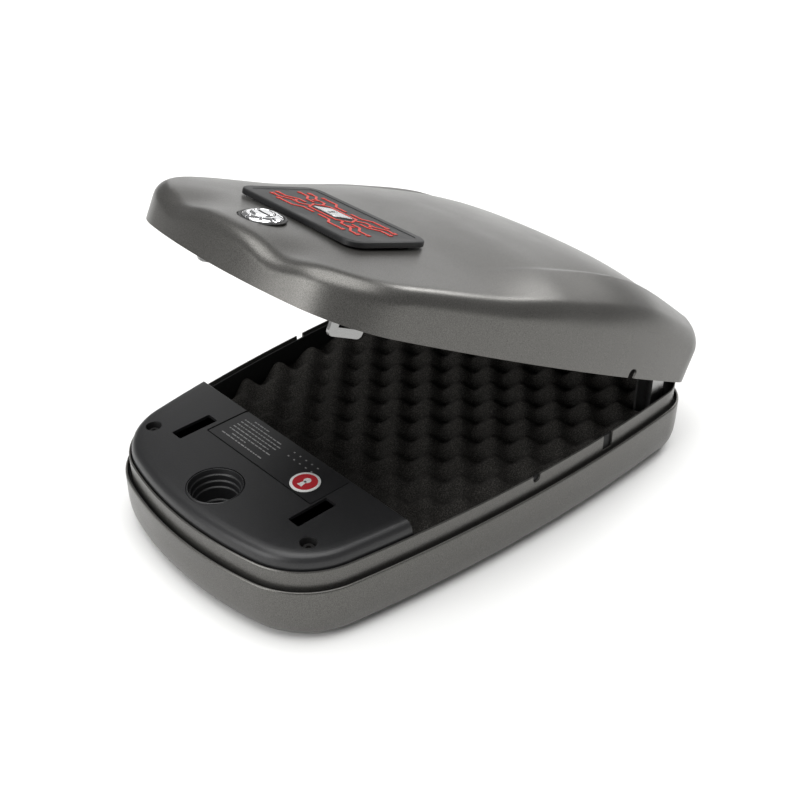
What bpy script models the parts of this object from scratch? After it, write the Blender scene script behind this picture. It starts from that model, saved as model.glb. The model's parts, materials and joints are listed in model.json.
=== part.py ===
# Pistol safe with a rear-hinged lid, a reader pad, a key lock and a motor-driven latch.
# Metres, +Z up, the lock end faces -Y, the hinge end +Y, the origin is under the middle of the base.
import math

import bmesh
import bpy
from mathutils import Matrix, Vector

# Plan of the shell: five tangent arcs, narrower at the front
LENGTH = 0.330
WIDTH = 0.2268
WIDEST_Y = 0.074
FRONT_RADIUS = 0.239
SIDE_RADIUS = 1.033
REAR_RADIUS = 2.338
FRONT_CORNER = 0.0507
REAR_CORNER = 0.031

# Heights of the base
FOOT_HEIGHT = 0.0012
BASE_BOTTOM = 0.0015
SHELL_WALL = 0.0015
RIM_HEIGHT = 0.0362
COLLAR_TOP = 0.0476
COLLAR_INSET = 0.0035
COLLAR_WALL = 0.0012
BAY_REAR_Y = -0.0775
COVER_TOP = 0.0568
SCREW_X = 0.0721
SCREW_Y = -0.1293
WELL_Y = -0.1365
WELL_RADIUS = 0.0165
FOAM_TOP = 0.0385

# Posts inside the rear corners that the lid's stops reach
POST_X = 0.0970
POST_Y = 0.1290
POST_WIDTH = 0.0120
POST_TOP = 0.0600

# Lid, modelled shut and then turned about the hinge
HINGE_X = 0.055
HINGE_Y = 0.1738
HINGE_Z = 0.0401
LID_OPEN_DEG = 27.3
LID_RIM = 0.0370
LID_INSET = 0.0005
LID_WALL = 0.0014
LID_EDGE_RADIUS = 0.0085
LINER_Z = 0.0585
# Height of the lid's crown at stations from front to rear
LID_CROWN = (
    (-0.165, 0.0600),
    (-0.118, 0.0671),
    (-0.062, 0.0760),
    (0.000, 0.0887),
    (0.080, 0.0941),
    (0.165, 0.0802),
)
LID_CROSS_BEND = 0.5
LID_SIDE_FALL = 0.0175
LID_SIDE_POWER = 4.0
LID_FALL_FRONT_Y = -0.145
LID_FALL_FULL_Y = 0.030
PANEL_HALF_WIDTH = 0.0765
PANEL_STEP_WIDTH = 0.006
RAIL_HEIGHT = 0.0030
PANEL_FRONT_Y = -0.060
PANEL_FULL_Y = 0.120
SCOOP_DEPTH = 0.0046

# Lock and reader pad
LOCK_Y = -0.1375
LOCK_LEAN_DEG = 14.0
LOCK_BEZEL_RADIUS = 0.0128
LOCK_BARREL_RADIUS = 0.0085
LOCK_PLUG_RADIUS = 0.0062
PAD_Y = -0.0905
PAD_WIDTH = 0.096
PAD_DEPTH = 0.057
PAD_THICKNESS = 0.0035

# Latch
HOOK_X = 0.055
HOOK_Y = -0.1115
HOOK_THICKNESS = 0.002
HOOK_LENGTH = 0.0245
HOOK_BOTTOM = 0.0235
SLOT_SIZE = (0.0088, 0.0268)
PINION_RADIUS = 0.004
PINION_TEETH = 10
PINION_X = 0.040
RACK_Y = -0.0905
BAR_FRONT_Y = -0.0965
FINGER_Y = (-0.1155, -0.1075)

GAP = 0.0003
SIDES = ((-1, "left"), (1, "right"))

# Samples along each arc of half the plan: front, front corner, side, rear corner, rear
ARC_STEPS = (5, 5, 8, 5, 3)

# How pieces modelled with the lid shut are placed under the lid's turned frame
SHUT_BASIS = {}

PAINTED_STEEL = ("gunmetal", (0.105, 0.100, 0.094), 0.48, 0.75)
INNER_STEEL = ("zinc_steel", (0.52, 0.52, 0.50), 0.38, 0.9)
BLACK_PLASTIC = ("black_plastic", (0.018, 0.018, 0.019), 0.45, 0.0)
RUBBER = ("rubber", (0.020, 0.020, 0.021), 0.75, 0.0)
FOAM = ("foam", (0.030, 0.025, 0.022), 0.95, 0.0)
CHROME = ("chrome", (0.80, 0.80, 0.81), 0.12, 1.0)
RED = ("red_ink", (0.75, 0.06, 0.03), 0.5, 0.0)
SILVER = ("silver_ink", (0.62, 0.63, 0.64), 0.35, 0.6)
BOARD_GREEN = ("board", (0.03, 0.16, 0.07), 0.5, 0.0)
CELL = ("cell_wrap", (0.55, 0.42, 0.12), 0.4, 0.2)


# ---------------------------------------------------------------- plan of the shell
def corner_centre(centre_a, reach_a, centre_b, reach_b):
    # Where two circles of these reaches cross, on the +X side
    gap = centre_b - centre_a
    span = gap.length
    along = (reach_a**2 - reach_b**2 + span**2) / (2 * span)
    across = math.sqrt(reach_a**2 - along**2)
    unit = gap / span
    foot = centre_a + along * unit
    side = across * Vector((-unit.y, unit.x))
    return max(foot + side, foot - side, key=lambda point: point.x)


def plan_arcs():
    front = Vector((0, FRONT_RADIUS - LENGTH / 2))
    side = Vector((WIDTH / 2 - SIDE_RADIUS, WIDEST_Y))
    rear = Vector((0, LENGTH / 2 - REAR_RADIUS))
    front_corner = corner_centre(front, FRONT_RADIUS - FRONT_CORNER, side, SIDE_RADIUS - FRONT_CORNER)
    rear_corner = corner_centre(rear, REAR_RADIUS - REAR_CORNER, side, SIDE_RADIUS - REAR_CORNER)

    def heading(start, end):
        return math.atan2(end.y - start.y, end.x - start.x)

    turns = (
        -math.pi / 2,
        heading(front, front_corner),
        heading(side, front_corner),
        heading(side, rear_corner),
        heading(rear, rear_corner),
        math.pi / 2,
    )
    return (
        (front, FRONT_RADIUS, turns[0], turns[1]),
        (front_corner, FRONT_CORNER, turns[1], turns[2]),
        (side, SIDE_RADIUS, turns[2], turns[3]),
        (rear_corner, REAR_CORNER, turns[3], turns[4]),
        (rear, REAR_RADIUS, turns[4], turns[5]),
    )


ARCS = plan_arcs()


def arc_points(arc, inset, steps, start=None, end=None):
    centre, radius, low, high = arc
    low = low if start is None else start
    high = high if end is None else end
    reach = radius - inset
    angles = [low + (high - low) * k / steps for k in range(steps + 1)]
    return [(centre.x + reach * math.cos(a), centre.y + reach * math.sin(a)) for a in angles]


def mirrored(half):
    # A half outline on +X becomes a closed ring, without its two middle points twice
    on_axis = abs(half[0][0]) < 1e-9
    other = [(-x, y) for x, y in reversed(half)]
    if on_axis:
        other = other[:-1]
    if abs(half[-1][0]) < 1e-9:
        other = other[1:]
    return half + other


def ring(inset):
    half = []
    for arc, steps in zip(ARCS, ARC_STEPS):
        points = arc_points(arc, inset, steps)
        half += points if not half else points[1:]
    return mirrored(half)


def side_turn(inset, y):
    centre, radius, _, _ = ARCS[2]
    return math.asin((y - centre.y) / (radius - inset))


def front_ring(inset, rear_y):
    half = arc_points(ARCS[0], inset, ARC_STEPS[0])
    half += arc_points(ARCS[1], inset, ARC_STEPS[1])[1:]
    half += arc_points(ARCS[2], inset, 3, end=side_turn(inset, rear_y))[1:]
    return mirrored(half)


def rear_ring(inset, front_y):
    half = arc_points(ARCS[2], inset, 8, start=side_turn(inset, front_y))
    half += arc_points(ARCS[3], inset, ARC_STEPS[3])[1:]
    half += arc_points(ARCS[4], inset, ARC_STEPS[4])[1:]
    return mirrored(half)


# ---------------------------------------------------------------- making solids
def material(look):
    name, colour, roughness, metallic = look
    made = bpy.data.materials.get(name)
    if made is None:
        made = bpy.data.materials.new(name)
        made.use_nodes = True
        shader = made.node_tree.nodes["Principled BSDF"]
        shader.inputs["Base Color"].default_value = (*colour, 1)
        shader.inputs["Roughness"].default_value = roughness
        shader.inputs["Metallic"].default_value = metallic
    return made


def add_object(name, mesh_data, look, frame=None):
    bmesh.ops.recalc_face_normals(mesh_data, faces=mesh_data.faces)
    mesh = bpy.data.meshes.new(name)
    mesh_data.to_mesh(mesh)
    mesh_data.free()
    mesh.shade_smooth()
    mesh.set_sharp_from_angle(angle=math.radians(35))
    piece = bpy.data.objects.new(name, mesh)
    bpy.context.collection.objects.link(piece)
    if look:
        mesh.materials.append(material(look))
    if frame:
        piece.parent = frame
        piece.matrix_basis = SHUT_BASIS.get(frame.name, Matrix())
    return piece


def loft(name, rings, look=None, loop=False, frame=None):
    # rings: lists of (x, y, z) of equal length; the ends are capped, or joined to each other
    made = bmesh.new()
    rows = [[made.verts.new(point) for point in points] for points in rings]
    pairs = list(zip(rows, rows[1:]))
    if loop:
        pairs.append((rows[-1], rows[0]))
    for low, high in pairs:
        count = len(low)
        for k in range(count):
            after = (k + 1) % count
            made.faces.new((low[k], low[after], high[after], high[k]))
    if not loop:
        made.faces.new(rows[0])
        made.faces.new(rows[-1])
    return add_object(name, made, look, frame)


def at_height(points, z):
    return [(x, y, z) for x, y in points]


def prism(name, outline, low, high, look=None, axis="Z", frame=None, bevel=0.0):
    # An outline in the plane across the axis, pushed from low to high along it
    made = bmesh.new()
    order = {"X": lambda a, b, c: (c, a, b), "Y": lambda a, b, c: (a, c, b), "Z": lambda a, b, c: (a, b, c)}
    base = [made.verts.new(order[axis](a, b, low)) for a, b in outline]
    face = made.faces.new(base)
    grown = bmesh.ops.extrude_face_region(made, geom=[face])
    moved = [item for item in grown["geom"] if isinstance(item, bmesh.types.BMVert)]
    bmesh.ops.translate(made, verts=moved, vec=order[axis](0, 0, high - low))
    if bevel:
        sharp = [edge for edge in made.edges if edge.calc_face_angle(0) > 0.6]
        bmesh.ops.bevel(made, geom=sharp, offset=bevel, segments=1, affect="EDGES")
    return add_object(name, made, look, frame)


def box(name, low, high, look=None, frame=None, bevel=0.0):
    outline = [(low[0], low[1]), (high[0], low[1]), (high[0], high[1]), (low[0], high[1])]
    return prism(name, outline, low[2], high[2], look, "Z", frame, bevel)


def circle(radius, centre=(0.0, 0.0), sides=24, turn=0.0):
    angles = [turn + 2 * math.pi * k / sides for k in range(sides)]
    return [(centre[0] + radius * math.cos(a), centre[1] + radius * math.sin(a)) for a in angles]


def rounded_rectangle(width, depth, radius, centre=(0.0, 0.0), steps=4):
    points = []
    for quarter in range(4):
        start = quarter * math.pi / 2
        sign_x = 1 if quarter in (0, 3) else -1
        sign_y = 1 if quarter in (0, 1) else -1
        middle = (centre[0] + sign_x * (width / 2 - radius), centre[1] + sign_y * (depth / 2 - radius))
        for k in range(steps + 1):
            angle = start + k * math.pi / 2 / steps
            points.append((middle[0] + radius * math.cos(angle), middle[1] + radius * math.sin(angle)))
    return points


def turned(name, profile, look=None, centre=(0.0, 0.0), sides=24, frame=None):
    # profile: (radius, z) pairs from one end cap to the other
    rings = [at_height(circle(radius, centre, sides), z) for radius, z in profile]
    return loft(name, rings, look, frame=frame)


def shape_with(piece, tool, operation):
    tool.hide_render = True
    tool.display_type = "WIRE"
    change = piece.modifiers.new(tool.name, "BOOLEAN")
    change.operation = operation
    change.solver = "EXACT"
    change.object = tool


def cut(piece, *tools):
    for tool in tools:
        shape_with(piece, tool, "DIFFERENCE")


def join(piece, *tools):
    for tool in tools:
        shape_with(piece, tool, "UNION")


def add_frame(name, matrix, parent=None):
    # An empty on a joint's axis or a mounting plane
    frame = bpy.data.objects.new(name, None)
    bpy.context.collection.objects.link(frame)
    frame.parent = parent
    frame.matrix_basis = matrix
    return frame


# ---------------------------------------------------------------- lid surface
def smooth(low, high, value):
    t = min(1.0, max(0.0, (value - low) / (high - low)))
    return t * t * (3 - 2 * t)


def crown_slope(k):
    before = LID_CROWN[max(k - 1, 0)]
    after = LID_CROWN[min(k + 1, len(LID_CROWN) - 1)]
    return (after[1] - before[1]) / (after[0] - before[0])


def lid_crown(y):
    # A smooth curve through the stations, straight beyond the last ones
    last = len(LID_CROWN) - 2
    k = 0
    while k < last and y > LID_CROWN[k + 1][0]:
        k += 1
    (y0, z0), (y1, z1) = LID_CROWN[k], LID_CROWN[k + 1]
    span = y1 - y0
    t = min(1.0, max(0.0, (y - y0) / span))
    rise = (2 * t**3 - 3 * t**2 + 1) * z0 + (3 * t**2 - 2 * t**3) * z1
    bend = (t**3 - 2 * t**2 + t) * crown_slope(k) + (t**3 - t**2) * crown_slope(k + 1)
    return rise + span * bend


def lid_height(x, y):
    fall = LID_SIDE_FALL * smooth(LID_FALL_FRONT_Y, LID_FALL_FULL_Y, y)
    side = LID_CROSS_BEND * x**2 + fall * (abs(x) / (WIDTH / 2)) ** LID_SIDE_POWER
    across = smooth(PANEL_HALF_WIDTH - PANEL_STEP_WIDTH, PANEL_HALF_WIDTH, abs(x))
    rail = smooth(PANEL_FRONT_Y, PANEL_FULL_Y, y) * across
    scoop = math.exp(-(((abs(x) - 0.040) / 0.017) ** 2) - ((y + 0.158) / 0.020) ** 2)
    return lid_crown(y) - side + RAIL_HEIGHT * rail - SCOOP_DEPTH * scoop


def lid_rings(extra, wall, rim):
    # Rings of one face of the lid from its rim to its crown; extra is the wall already inside it
    radius = LID_EDGE_RADIUS - extra
    outer = ring(LID_INSET + extra)
    rings = [at_height(outer, rim)]
    top = [(x, y, lid_height(x, y) - wall - radius) for x, y in outer]
    rings.append([(x, y, (rim + z) / 2) for x, y, z in top])
    rings.append(top)
    for k in range(1, 5):
        lean = k * math.pi / 8
        plan = ring(LID_INSET + extra + radius * (1 - math.cos(lean)))
        rings.append([(x, y, lid_height(x, y) - wall - radius * (1 - math.sin(lean))) for x, y in plan])
    shoulder = ring(LID_INSET + LID_EDGE_RADIUS)
    for scale in (0.97, 0.93, 0.88, 0.81, 0.72, 0.61, 0.49, 0.36, 0.20, 0.07):
        rings.append([(x * scale, y * scale, lid_height(x * scale, y * scale) - wall) for x, y in shoulder])
    return rings


# ---------------------------------------------------------------- base
def build_base_shell():
    profile = (
        (0.0130, BASE_BOTTOM),
        (0.0075, BASE_BOTTOM + 0.0006),
        (0.0040, 0.0046),
        (0.0018, 0.0078),
        (0.0005, 0.0124),
        (0.0, 0.0190),
        (0.0, RIM_HEIGHT - 0.0012),
        (0.0004, RIM_HEIGHT - 0.0002),
        (0.0011, RIM_HEIGHT),
        (SHELL_WALL, RIM_HEIGHT - 0.0006),
        (SHELL_WALL, 0.0150),
        (0.0026, 0.0090),
        (0.0060, 0.0050),
        (0.0120, BASE_BOTTOM + SHELL_WALL),
    )
    shell = loft("base_shell", [at_height(ring(inset), z) for inset, z in profile], PAINTED_STEEL)
    cut(shell, box("cut_hatch", (-0.032, -0.1490, -0.001), (0.032, -0.0840, 0.008)))
    cut(shell, prism("cut_inlet", circle(0.0050, (0, 0.0190), 20), 0.155, 0.170, axis="Y"))
    for k, (x, y) in enumerate(bolt_places()):
        cut(shell, prism(f"cut_bolt_{k}", circle(0.0033, (x, y), 16), -0.001, 0.006))
    return shell


def bolt_places():
    return [(x, y) for x in (-0.070, 0.070) for y in (-0.045, 0.095)]


def build_collar():
    top = COLLAR_TOP
    inner = COLLAR_INSET + COLLAR_WALL
    section = (
        (COLLAR_INSET, top - 0.0006),
        (COLLAR_INSET + 0.0003, top),
        (inner - 0.0003, top),
        (inner, top - 0.0006),
        (inner, 0.0112),
        (0.0074, 0.0068),
        (0.0150, 0.0052),
        (0.0150, 0.0042),
        (0.0068, 0.0058),
        (COLLAR_INSET, 0.0110),
    )
    collar = loft("inner_collar", [at_height(ring(inset), z) for inset, z in section], PAINTED_STEEL, True)
    reach = WIDTH / 2 + 0.01
    for side in (-1, 1):
        across = sorted((side * 0.095, side * reach))
        round_notch = rounded_rectangle(0.0056, 0.0140, 0.0027, (0.0100, top + 0.002), 4)
        tag = "left" if side < 0 else "right"
        cut(collar, prism(f"cut_round_{tag}", round_notch, across[0], across[1], axis="X"))
        low, high = (across[0], 0.0680, 0.0362), (across[1], 0.0765, top + 0.01)
        cut(collar, box(f"cut_square_{tag}", low, high))
    cut(collar, prism("cut_collar_inlet", circle(0.0050, (0, 0.0190), 20), 0.150, 0.170, axis="Y"))
    return collar


def build_gasket():
    section = ((0.0018, 0.0300), (0.0032, 0.0300), (0.0032, 0.0332), (0.0018, 0.0332))
    loft("seam_gasket", [at_height(ring(inset), z) for inset, z in section], RUBBER, True)


def build_liner():
    front = BAY_REAR_Y + 0.0013
    profile = (
        (0.0200, 0.0056, front + 0.006),
        (0.0090, 0.0076, front + 0.001),
        (0.0052, 0.0130, front),
        (0.0050, 0.0448, front),
        (0.0053, 0.0455, front + 0.0003),
        (0.0062, 0.0455, front + 0.0011),
        (0.0065, 0.0448, front + 0.0014),
        (0.0066, 0.0140, front + 0.0014),
        (0.0102, 0.0090, front + 0.0026),
        (0.0206, 0.0070, front + 0.0075),
    )
    rings = [at_height(rear_ring(inset, y), z) for inset, z, y in profile]
    liner = loft("base_liner", rings, BLACK_PLASTIC)
    cut(liner, prism("cut_liner_inlet", circle(0.0050, (0, 0.0190), 20), 0.150, 0.170, axis="Y"))
    for k, (x, y) in enumerate(bolt_places()):
        cut(liner, prism(f"cut_liner_bolt_{k}", circle(0.0040, (x, y), 16), 0.002, 0.010))
    reach = POST_WIDTH / 2 + 0.0005
    for side, tag in SIDES:
        x, y = side * POST_X, POST_Y
        cut(liner, box(f"cut_liner_post_{tag}", (x - reach, y - reach, 0.002), (x + reach, y + reach, 0.07)))


def post_room(name, low_z, high_z, side, frame=None, spare=0.0012):
    x0, x1 = sorted((side * (POST_X - POST_WIDTH / 2 - spare), side * (POST_X + POST_WIDTH / 2 + 0.012)))
    low = (x0, POST_Y - POST_WIDTH / 2 - spare, low_z)
    return box(name, low, (x1, POST_Y + POST_WIDTH / 2 + 0.020, high_z), frame=frame)


def build_base_foam():
    front = BAY_REAR_Y + 0.0033
    profile = (
        (0.0230, 0.0074, front + 0.007),
        (0.0112, 0.0100, front + 0.002),
        (0.0070, 0.0160, front),
        (0.0070, FOAM_TOP - 0.001, front),
        (0.0078, FOAM_TOP, front + 0.0008),
    )
    rings = [at_height(rear_ring(inset, y), z) for inset, z, y in profile]
    foam = loft("base_foam", rings, FOAM)
    for side, tag in SIDES:
        cut(foam, post_room(f"cut_foam_{tag}", 0.0, 0.05, side))
    cut(foam, prism("cut_foam_inlet", circle(0.0075, (0, 0.0190), 16), 0.140, 0.170, axis="Y"))


def build_front_cover():
    top = COVER_TOP
    rear = BAY_REAR_Y - GAP
    outer = (
        (0.0350, top, rear - 0.0020),
        (0.0200, top - 0.0006, rear - 0.0012),
        (0.0130, top - 0.0020, rear - 0.0004),
        (0.0085, top - 0.0043, rear),
        (0.0060, top - 0.0076, rear),
        (0.0052, top - 0.0113, rear),
        (0.0052, 0.0395, rear),
    )
    inner = (
        (0.0072, 0.0395, rear - 0.0020),
        (0.0072, top - 0.0118, rear - 0.0020),
        (0.0080, top - 0.0088, rear - 0.0020),
        (0.0105, top - 0.0060, rear - 0.0020),
        (0.0150, top - 0.0038, rear - 0.0024),
        (0.0215, top - 0.0025, rear - 0.0030),
        (0.0360, top - 0.0020, rear - 0.0040),
    )
    rings = [at_height(front_ring(inset, y), z) for inset, z, y in outer + inner]
    cover = loft("front_cover", rings, BLACK_PLASTIC)
    for side, tag in SIDES:
        centre = (side * SCREW_X, SCREW_Y)
        join(cover, prism(f"boss_{tag}", circle(0.0060, centre, 20), 0.0460, top - 0.0024))
        cut(cover, prism(f"cut_well_{tag}", circle(0.0042, centre, 20), 0.0505, top + 0.01))
        cut(cover, prism(f"cut_bore_{tag}", circle(0.0018, centre, 16), 0.0400, top + 0.01))
        slot = rounded_rectangle(*SLOT_SIZE, 0.0008, (side * (HOOK_X - 0.0005), HOOK_Y - 0.0005), 2)
        cut(cover, prism(f"cut_slot_{tag}", slot, 0.0300, top + 0.01))
    cut(cover, prism("cut_lock_well", circle(WELL_RADIUS, (0, WELL_Y), 32), 0.0300, top + 0.01))
    label = rounded_rectangle(0.0960, 0.0420, 0.0012, (0.0010, BAY_REAR_Y - 0.0105), 2)
    cut(cover, prism("cut_label", label, top - 0.0012, top + 0.01))


def build_cover_parts():
    top = COVER_TOP
    for side, tag in SIDES:
        centre = (side * SCREW_X, SCREW_Y)
        profile = ((0.0014, 0.0380), (0.0014, 0.0508), (0.0036, 0.0508), (0.0036, 0.0524), (0.0030, 0.0532))
        screw = turned(f"cover_screw_{tag}", profile, INNER_STEEL, centre, 20)
        cut(screw, prism(f"cut_drive_{tag}", circle(0.0015, centre, 6), 0.0518, 0.0545))
    well = (
        (WELL_RADIUS - 0.0020, 0.0345),
        (WELL_RADIUS - GAP, 0.0345),
        (WELL_RADIUS - GAP, top - 0.0006),
        (WELL_RADIUS - 0.0011, top - 0.0001),
        (WELL_RADIUS - 0.0016, top - 0.0034),
        (WELL_RADIUS - 0.0024, top - 0.0036),
        (WELL_RADIUS - 0.0024, top - 0.0070),
        (WELL_RADIUS - 0.0033, top - 0.0072),
        (WELL_RADIUS - 0.0033, top - 0.0106),
        (WELL_RADIUS - 0.0042, top - 0.0108),
        (WELL_RADIUS - 0.0042, 0.0360),
    )
    turned("lock_receiver", well, BLACK_PLASTIC, (0, WELL_Y), 32)
    low = (-0.0462, BAY_REAR_Y - 0.0305, top - 0.0009)
    box("label_plate", low, (0.0482, BAY_REAR_Y - 0.0030, top - 0.0003), BLACK_PLASTIC)
    prism("round_seal", circle(0.0088, (0.0320, -0.0985), 32), top, top + 0.0004, RED)


# ---------------------------------------------------------------- latch and electronics
def build_hooks(frame):
    for side, tag in SIDES:
        top = lid_height(HOOK_X, HOOK_Y - 0.0120) - LID_WALL - 0.0008
        middle_z = (HOOK_BOTTOM + top) / 2
        outline = rounded_rectangle(HOOK_LENGTH, top - HOOK_BOTTOM, 0.0030, (HOOK_Y, middle_z), 3)
        x = side * HOOK_X
        half = HOOK_THICKNESS / 2
        hook = prism(f"latch_hook_{tag}", outline, x - half, x + half, INNER_STEEL, "X", frame)
        x0, x1 = sorted((x - side * half, x + side * 0.010))
        flange = box(
            f"flange_{tag}",
            (x0, HOOK_Y - 0.0090, top - 0.0030),
            (x1, HOOK_Y + 0.0090, top - 0.0012),
            frame=frame,
        )
        join(hook, flange)
        low, high = (x - 0.01, HOOK_Y - 0.0065, 0.0285), (x + 0.01, HOOK_Y + 0.0065, 0.0345)
        cut(hook, box(f"cut_window_{tag}", low, high, frame=frame))


def rack_outline():
    # The latch bar from above: a strip with teeth towards +Y and two arms that reach forward
    pitch = 2 * math.pi * PINION_RADIUS / PINION_TEETH
    root_y = RACK_Y - 0.0010
    tip_y = RACK_Y + 0.0007
    points = [(0.0610, BAR_FRONT_Y), (0.0610, root_y)]
    teeth = [PINION_X + (k + 0.5) * pitch for k in range(4, -5, -1)]
    for x in teeth:
        points += [(x + 0.00068, root_y), (x + 0.00026, tip_y), (x - 0.00026, tip_y), (x - 0.00068, root_y)]
    points += [(-0.0700, root_y), (-0.0700, FINGER_Y[0]), (-0.0575, FINGER_Y[0]), (-0.0575, FINGER_Y[1])]
    points += [(-0.0635, FINGER_Y[1]), (-0.0635, BAR_FRONT_Y), (0.0400, BAR_FRONT_Y), (0.0400, FINGER_Y[0])]
    points += [(0.0525, FINGER_Y[0]), (0.0525, FINGER_Y[1]), (0.0465, FINGER_Y[1]), (0.0465, BAR_FRONT_Y)]
    return points


def pinion_outline():
    points = []
    step = 2 * math.pi / PINION_TEETH
    outer = PINION_RADIUS + 0.0006
    root = PINION_RADIUS - 0.0010
    for k in range(PINION_TEETH):
        middle = -math.pi / 2 + k * step
        for radius, lean in ((root, -0.235), (outer, -0.058), (outer, 0.058), (root, 0.235)):
            angle = middle + lean
            points.append((radius * math.cos(angle), radius * math.sin(angle)))
    return points


def build_latch():
    prism("latch_bar", rack_outline(), 0.0293, 0.0329, INNER_STEEL)
    axis_y = RACK_Y + PINION_RADIUS
    spin = add_frame("pinion_axis", Matrix.Translation((PINION_X, axis_y, 0)))
    pinion = prism("motor_pinion", pinion_outline(), 0.0296, 0.0326, BLACK_PLASTIC, frame=spin)
    cut(pinion, prism("cut_pinion", circle(0.0013, sides=16), 0.02, 0.04, frame=spin))
    profile = ((0.0058, 0.0075), (0.0060, 0.0080), (0.0060, 0.0262), (0.0030, 0.0262), (0.0030, 0.0280))
    profile += ((0.0010, 0.0280), (0.0010, 0.0338))
    turned("latch_motor", profile, INNER_STEEL, (PINION_X, axis_y), 20)
    guide = box("latch_guide", (-0.018, -0.1000, 0.0220), (0.018, -0.0868, 0.0350), BLACK_PLASTIC)
    cut(guide, box("cut_guide", (-0.030, BAR_FRONT_Y - GAP, 0.0290), (0.030, RACK_Y - 0.0010 + GAP, 0.0332)))


def build_electronics():
    box("circuit_board", (-0.0760, -0.1300, 0.0074), (-0.0360, -0.0860, 0.0090), BOARD_GREEN)
    holder = box("battery_holder", (-0.0310, -0.1475, 0.0052), (0.0310, -0.0855, 0.0217), BLACK_PLASTIC)
    cut(holder, box("cut_holder", (-0.0296, -0.1461, 0.0), (0.0296, -0.0869, 0.0206)))
    for k in range(4):
        y = -0.1390 + 0.0150 * k
        prism(f"battery_cell_{k + 1}", circle(0.0070, (y, 0.0130), 16), -0.0252, 0.0252, CELL, "X")
    low, high = (-0.0315, -0.1485, BASE_BOTTOM + 0.0001), (0.0315, -0.0845, 0.0037)
    hatch = box("battery_hatch", low, high, BLACK_PLASTIC)
    cut(hatch, prism("cut_hatch_bore", circle(0.0036, (0, -0.0905), 16), 0.0, 0.006))
    profile = ((0.0030, 0.0025), (0.0032, 0.0027), (0.0032, 0.0040), (0.0014, 0.0040), (0.0014, 0.0050))
    turned("hatch_screw", profile, INNER_STEEL, (0, -0.0905), 16)
    inlet = prism("power_inlet", circle(0.0047, (0, 0.0190), 20), 0.1535, 0.1652, BLACK_PLASTIC, "Y")
    cut(inlet, prism("cut_inlet_bore", circle(0.0030, (0, 0.0190), 20), 0.1560, 0.1700, axis="Y"))


# ---------------------------------------------------------------- hinge, posts and feet
def build_feet():
    for x, tag in ((-0.066, "left"), (0.066, "right")):
        for y, place in ((-0.112, "front"), (0.128, "rear")):
            profile = ((0.0085, 0.0), (0.0090, 0.0005), (0.0090, FOOT_HEIGHT))
            turned(f"foot_{place}_{tag}", profile, RUBBER, (x, y), 20)


def build_posts():
    half = POST_WIDTH / 2
    wall = 0.0015
    for side, tag in SIDES:
        x = side * POST_X
        channel = [(-half, -half), (-half + wall, -half), (-half + wall, half - wall)]
        channel += [(half - wall, half - wall), (half - wall, -half)]
        channel += [(half, -half), (half, half), (-half, half)]
        outline = [(x + a, POST_Y + b) for a, b in channel]
        prism(f"stop_post_{tag}", outline, 0.0074, POST_TOP, INNER_STEEL)
        cap = rounded_rectangle(POST_WIDTH, POST_WIDTH, 0.0015, (x, POST_Y), 2)
        prism(f"stop_bumper_{tag}", cap, POST_TOP + GAP, POST_TOP + 0.0033, RUBBER, bevel=0.0006)


def build_hinges(frame):
    for side, tag in SIDES:
        x0, x1 = (side * HINGE_X - 0.020, side * HINGE_X + 0.020)
        barrel = circle(0.0036, (HINGE_Y, HINGE_Z), 20)
        bore = circle(0.0018, (HINGE_Y, HINGE_Z), 16)
        leaf_y = LENGTH / 2 + GAP
        base = prism(f"hinge_base_{tag}", barrel, x0, x1, INNER_STEEL, "X")
        plate = [(leaf_y, 0.0140), (leaf_y + 0.0016, 0.0140), (leaf_y + 0.0016, 0.0330), (HINGE_Y, 0.0370)]
        plate += [(HINGE_Y, 0.0388), (HINGE_Y - 0.0020, 0.0390), (leaf_y, 0.0345)]
        join(base, prism(f"leaf_base_{tag}", plate, x0, x1, axis="X"))
        cut(base, prism(f"cut_base_bore_{tag}", bore, x0 - 0.01, x1 + 0.01, axis="X"))
        room = circle(0.0048, (HINGE_Y, HINGE_Z), 20)
        cut(base, prism(f"cut_base_gap_{tag}", room, x0 + 0.010, x1 - 0.010, axis="X"))
        a0, a1 = x0 + 0.0103, x0 + 0.0227
        lid = prism(f"hinge_lid_{tag}", barrel, a0, a1, INNER_STEEL, "X", frame)
        plate = [(leaf_y, 0.0460), (HINGE_Y - 0.0025, 0.0410), (HINGE_Y, 0.0420), (leaf_y + 0.0016, 0.0470)]
        plate += [(leaf_y + 0.0016, 0.0620), (leaf_y, 0.0620)]
        join(lid, prism(f"leaf_lid_{tag}", plate, a0, a1, axis="X", frame=frame))
        cut(lid, prism(f"cut_lid_bore_{tag}", bore, x0 - 0.01, x1 + 0.01, axis="X", frame=frame))
        pin = [(0.0030, x0 - 0.0018), (0.0032, x0 - 0.0012), (0.0032, x0 - GAP), (0.0015, x0 - GAP)]
        pin += [(0.0015, x1 + 0.0010), (0.0011, x1 + 0.0014)]
        rings = [[(x, a, b) for a, b in circle(r, (HINGE_Y, HINGE_Z), 16)] for r, x in pin]
        loft(f"hinge_pin_{tag}", rings, INNER_STEEL)
        build_spring(f"hinge_spring_{tag}", x0 + 0.0232, x0 + 0.0297)


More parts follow.
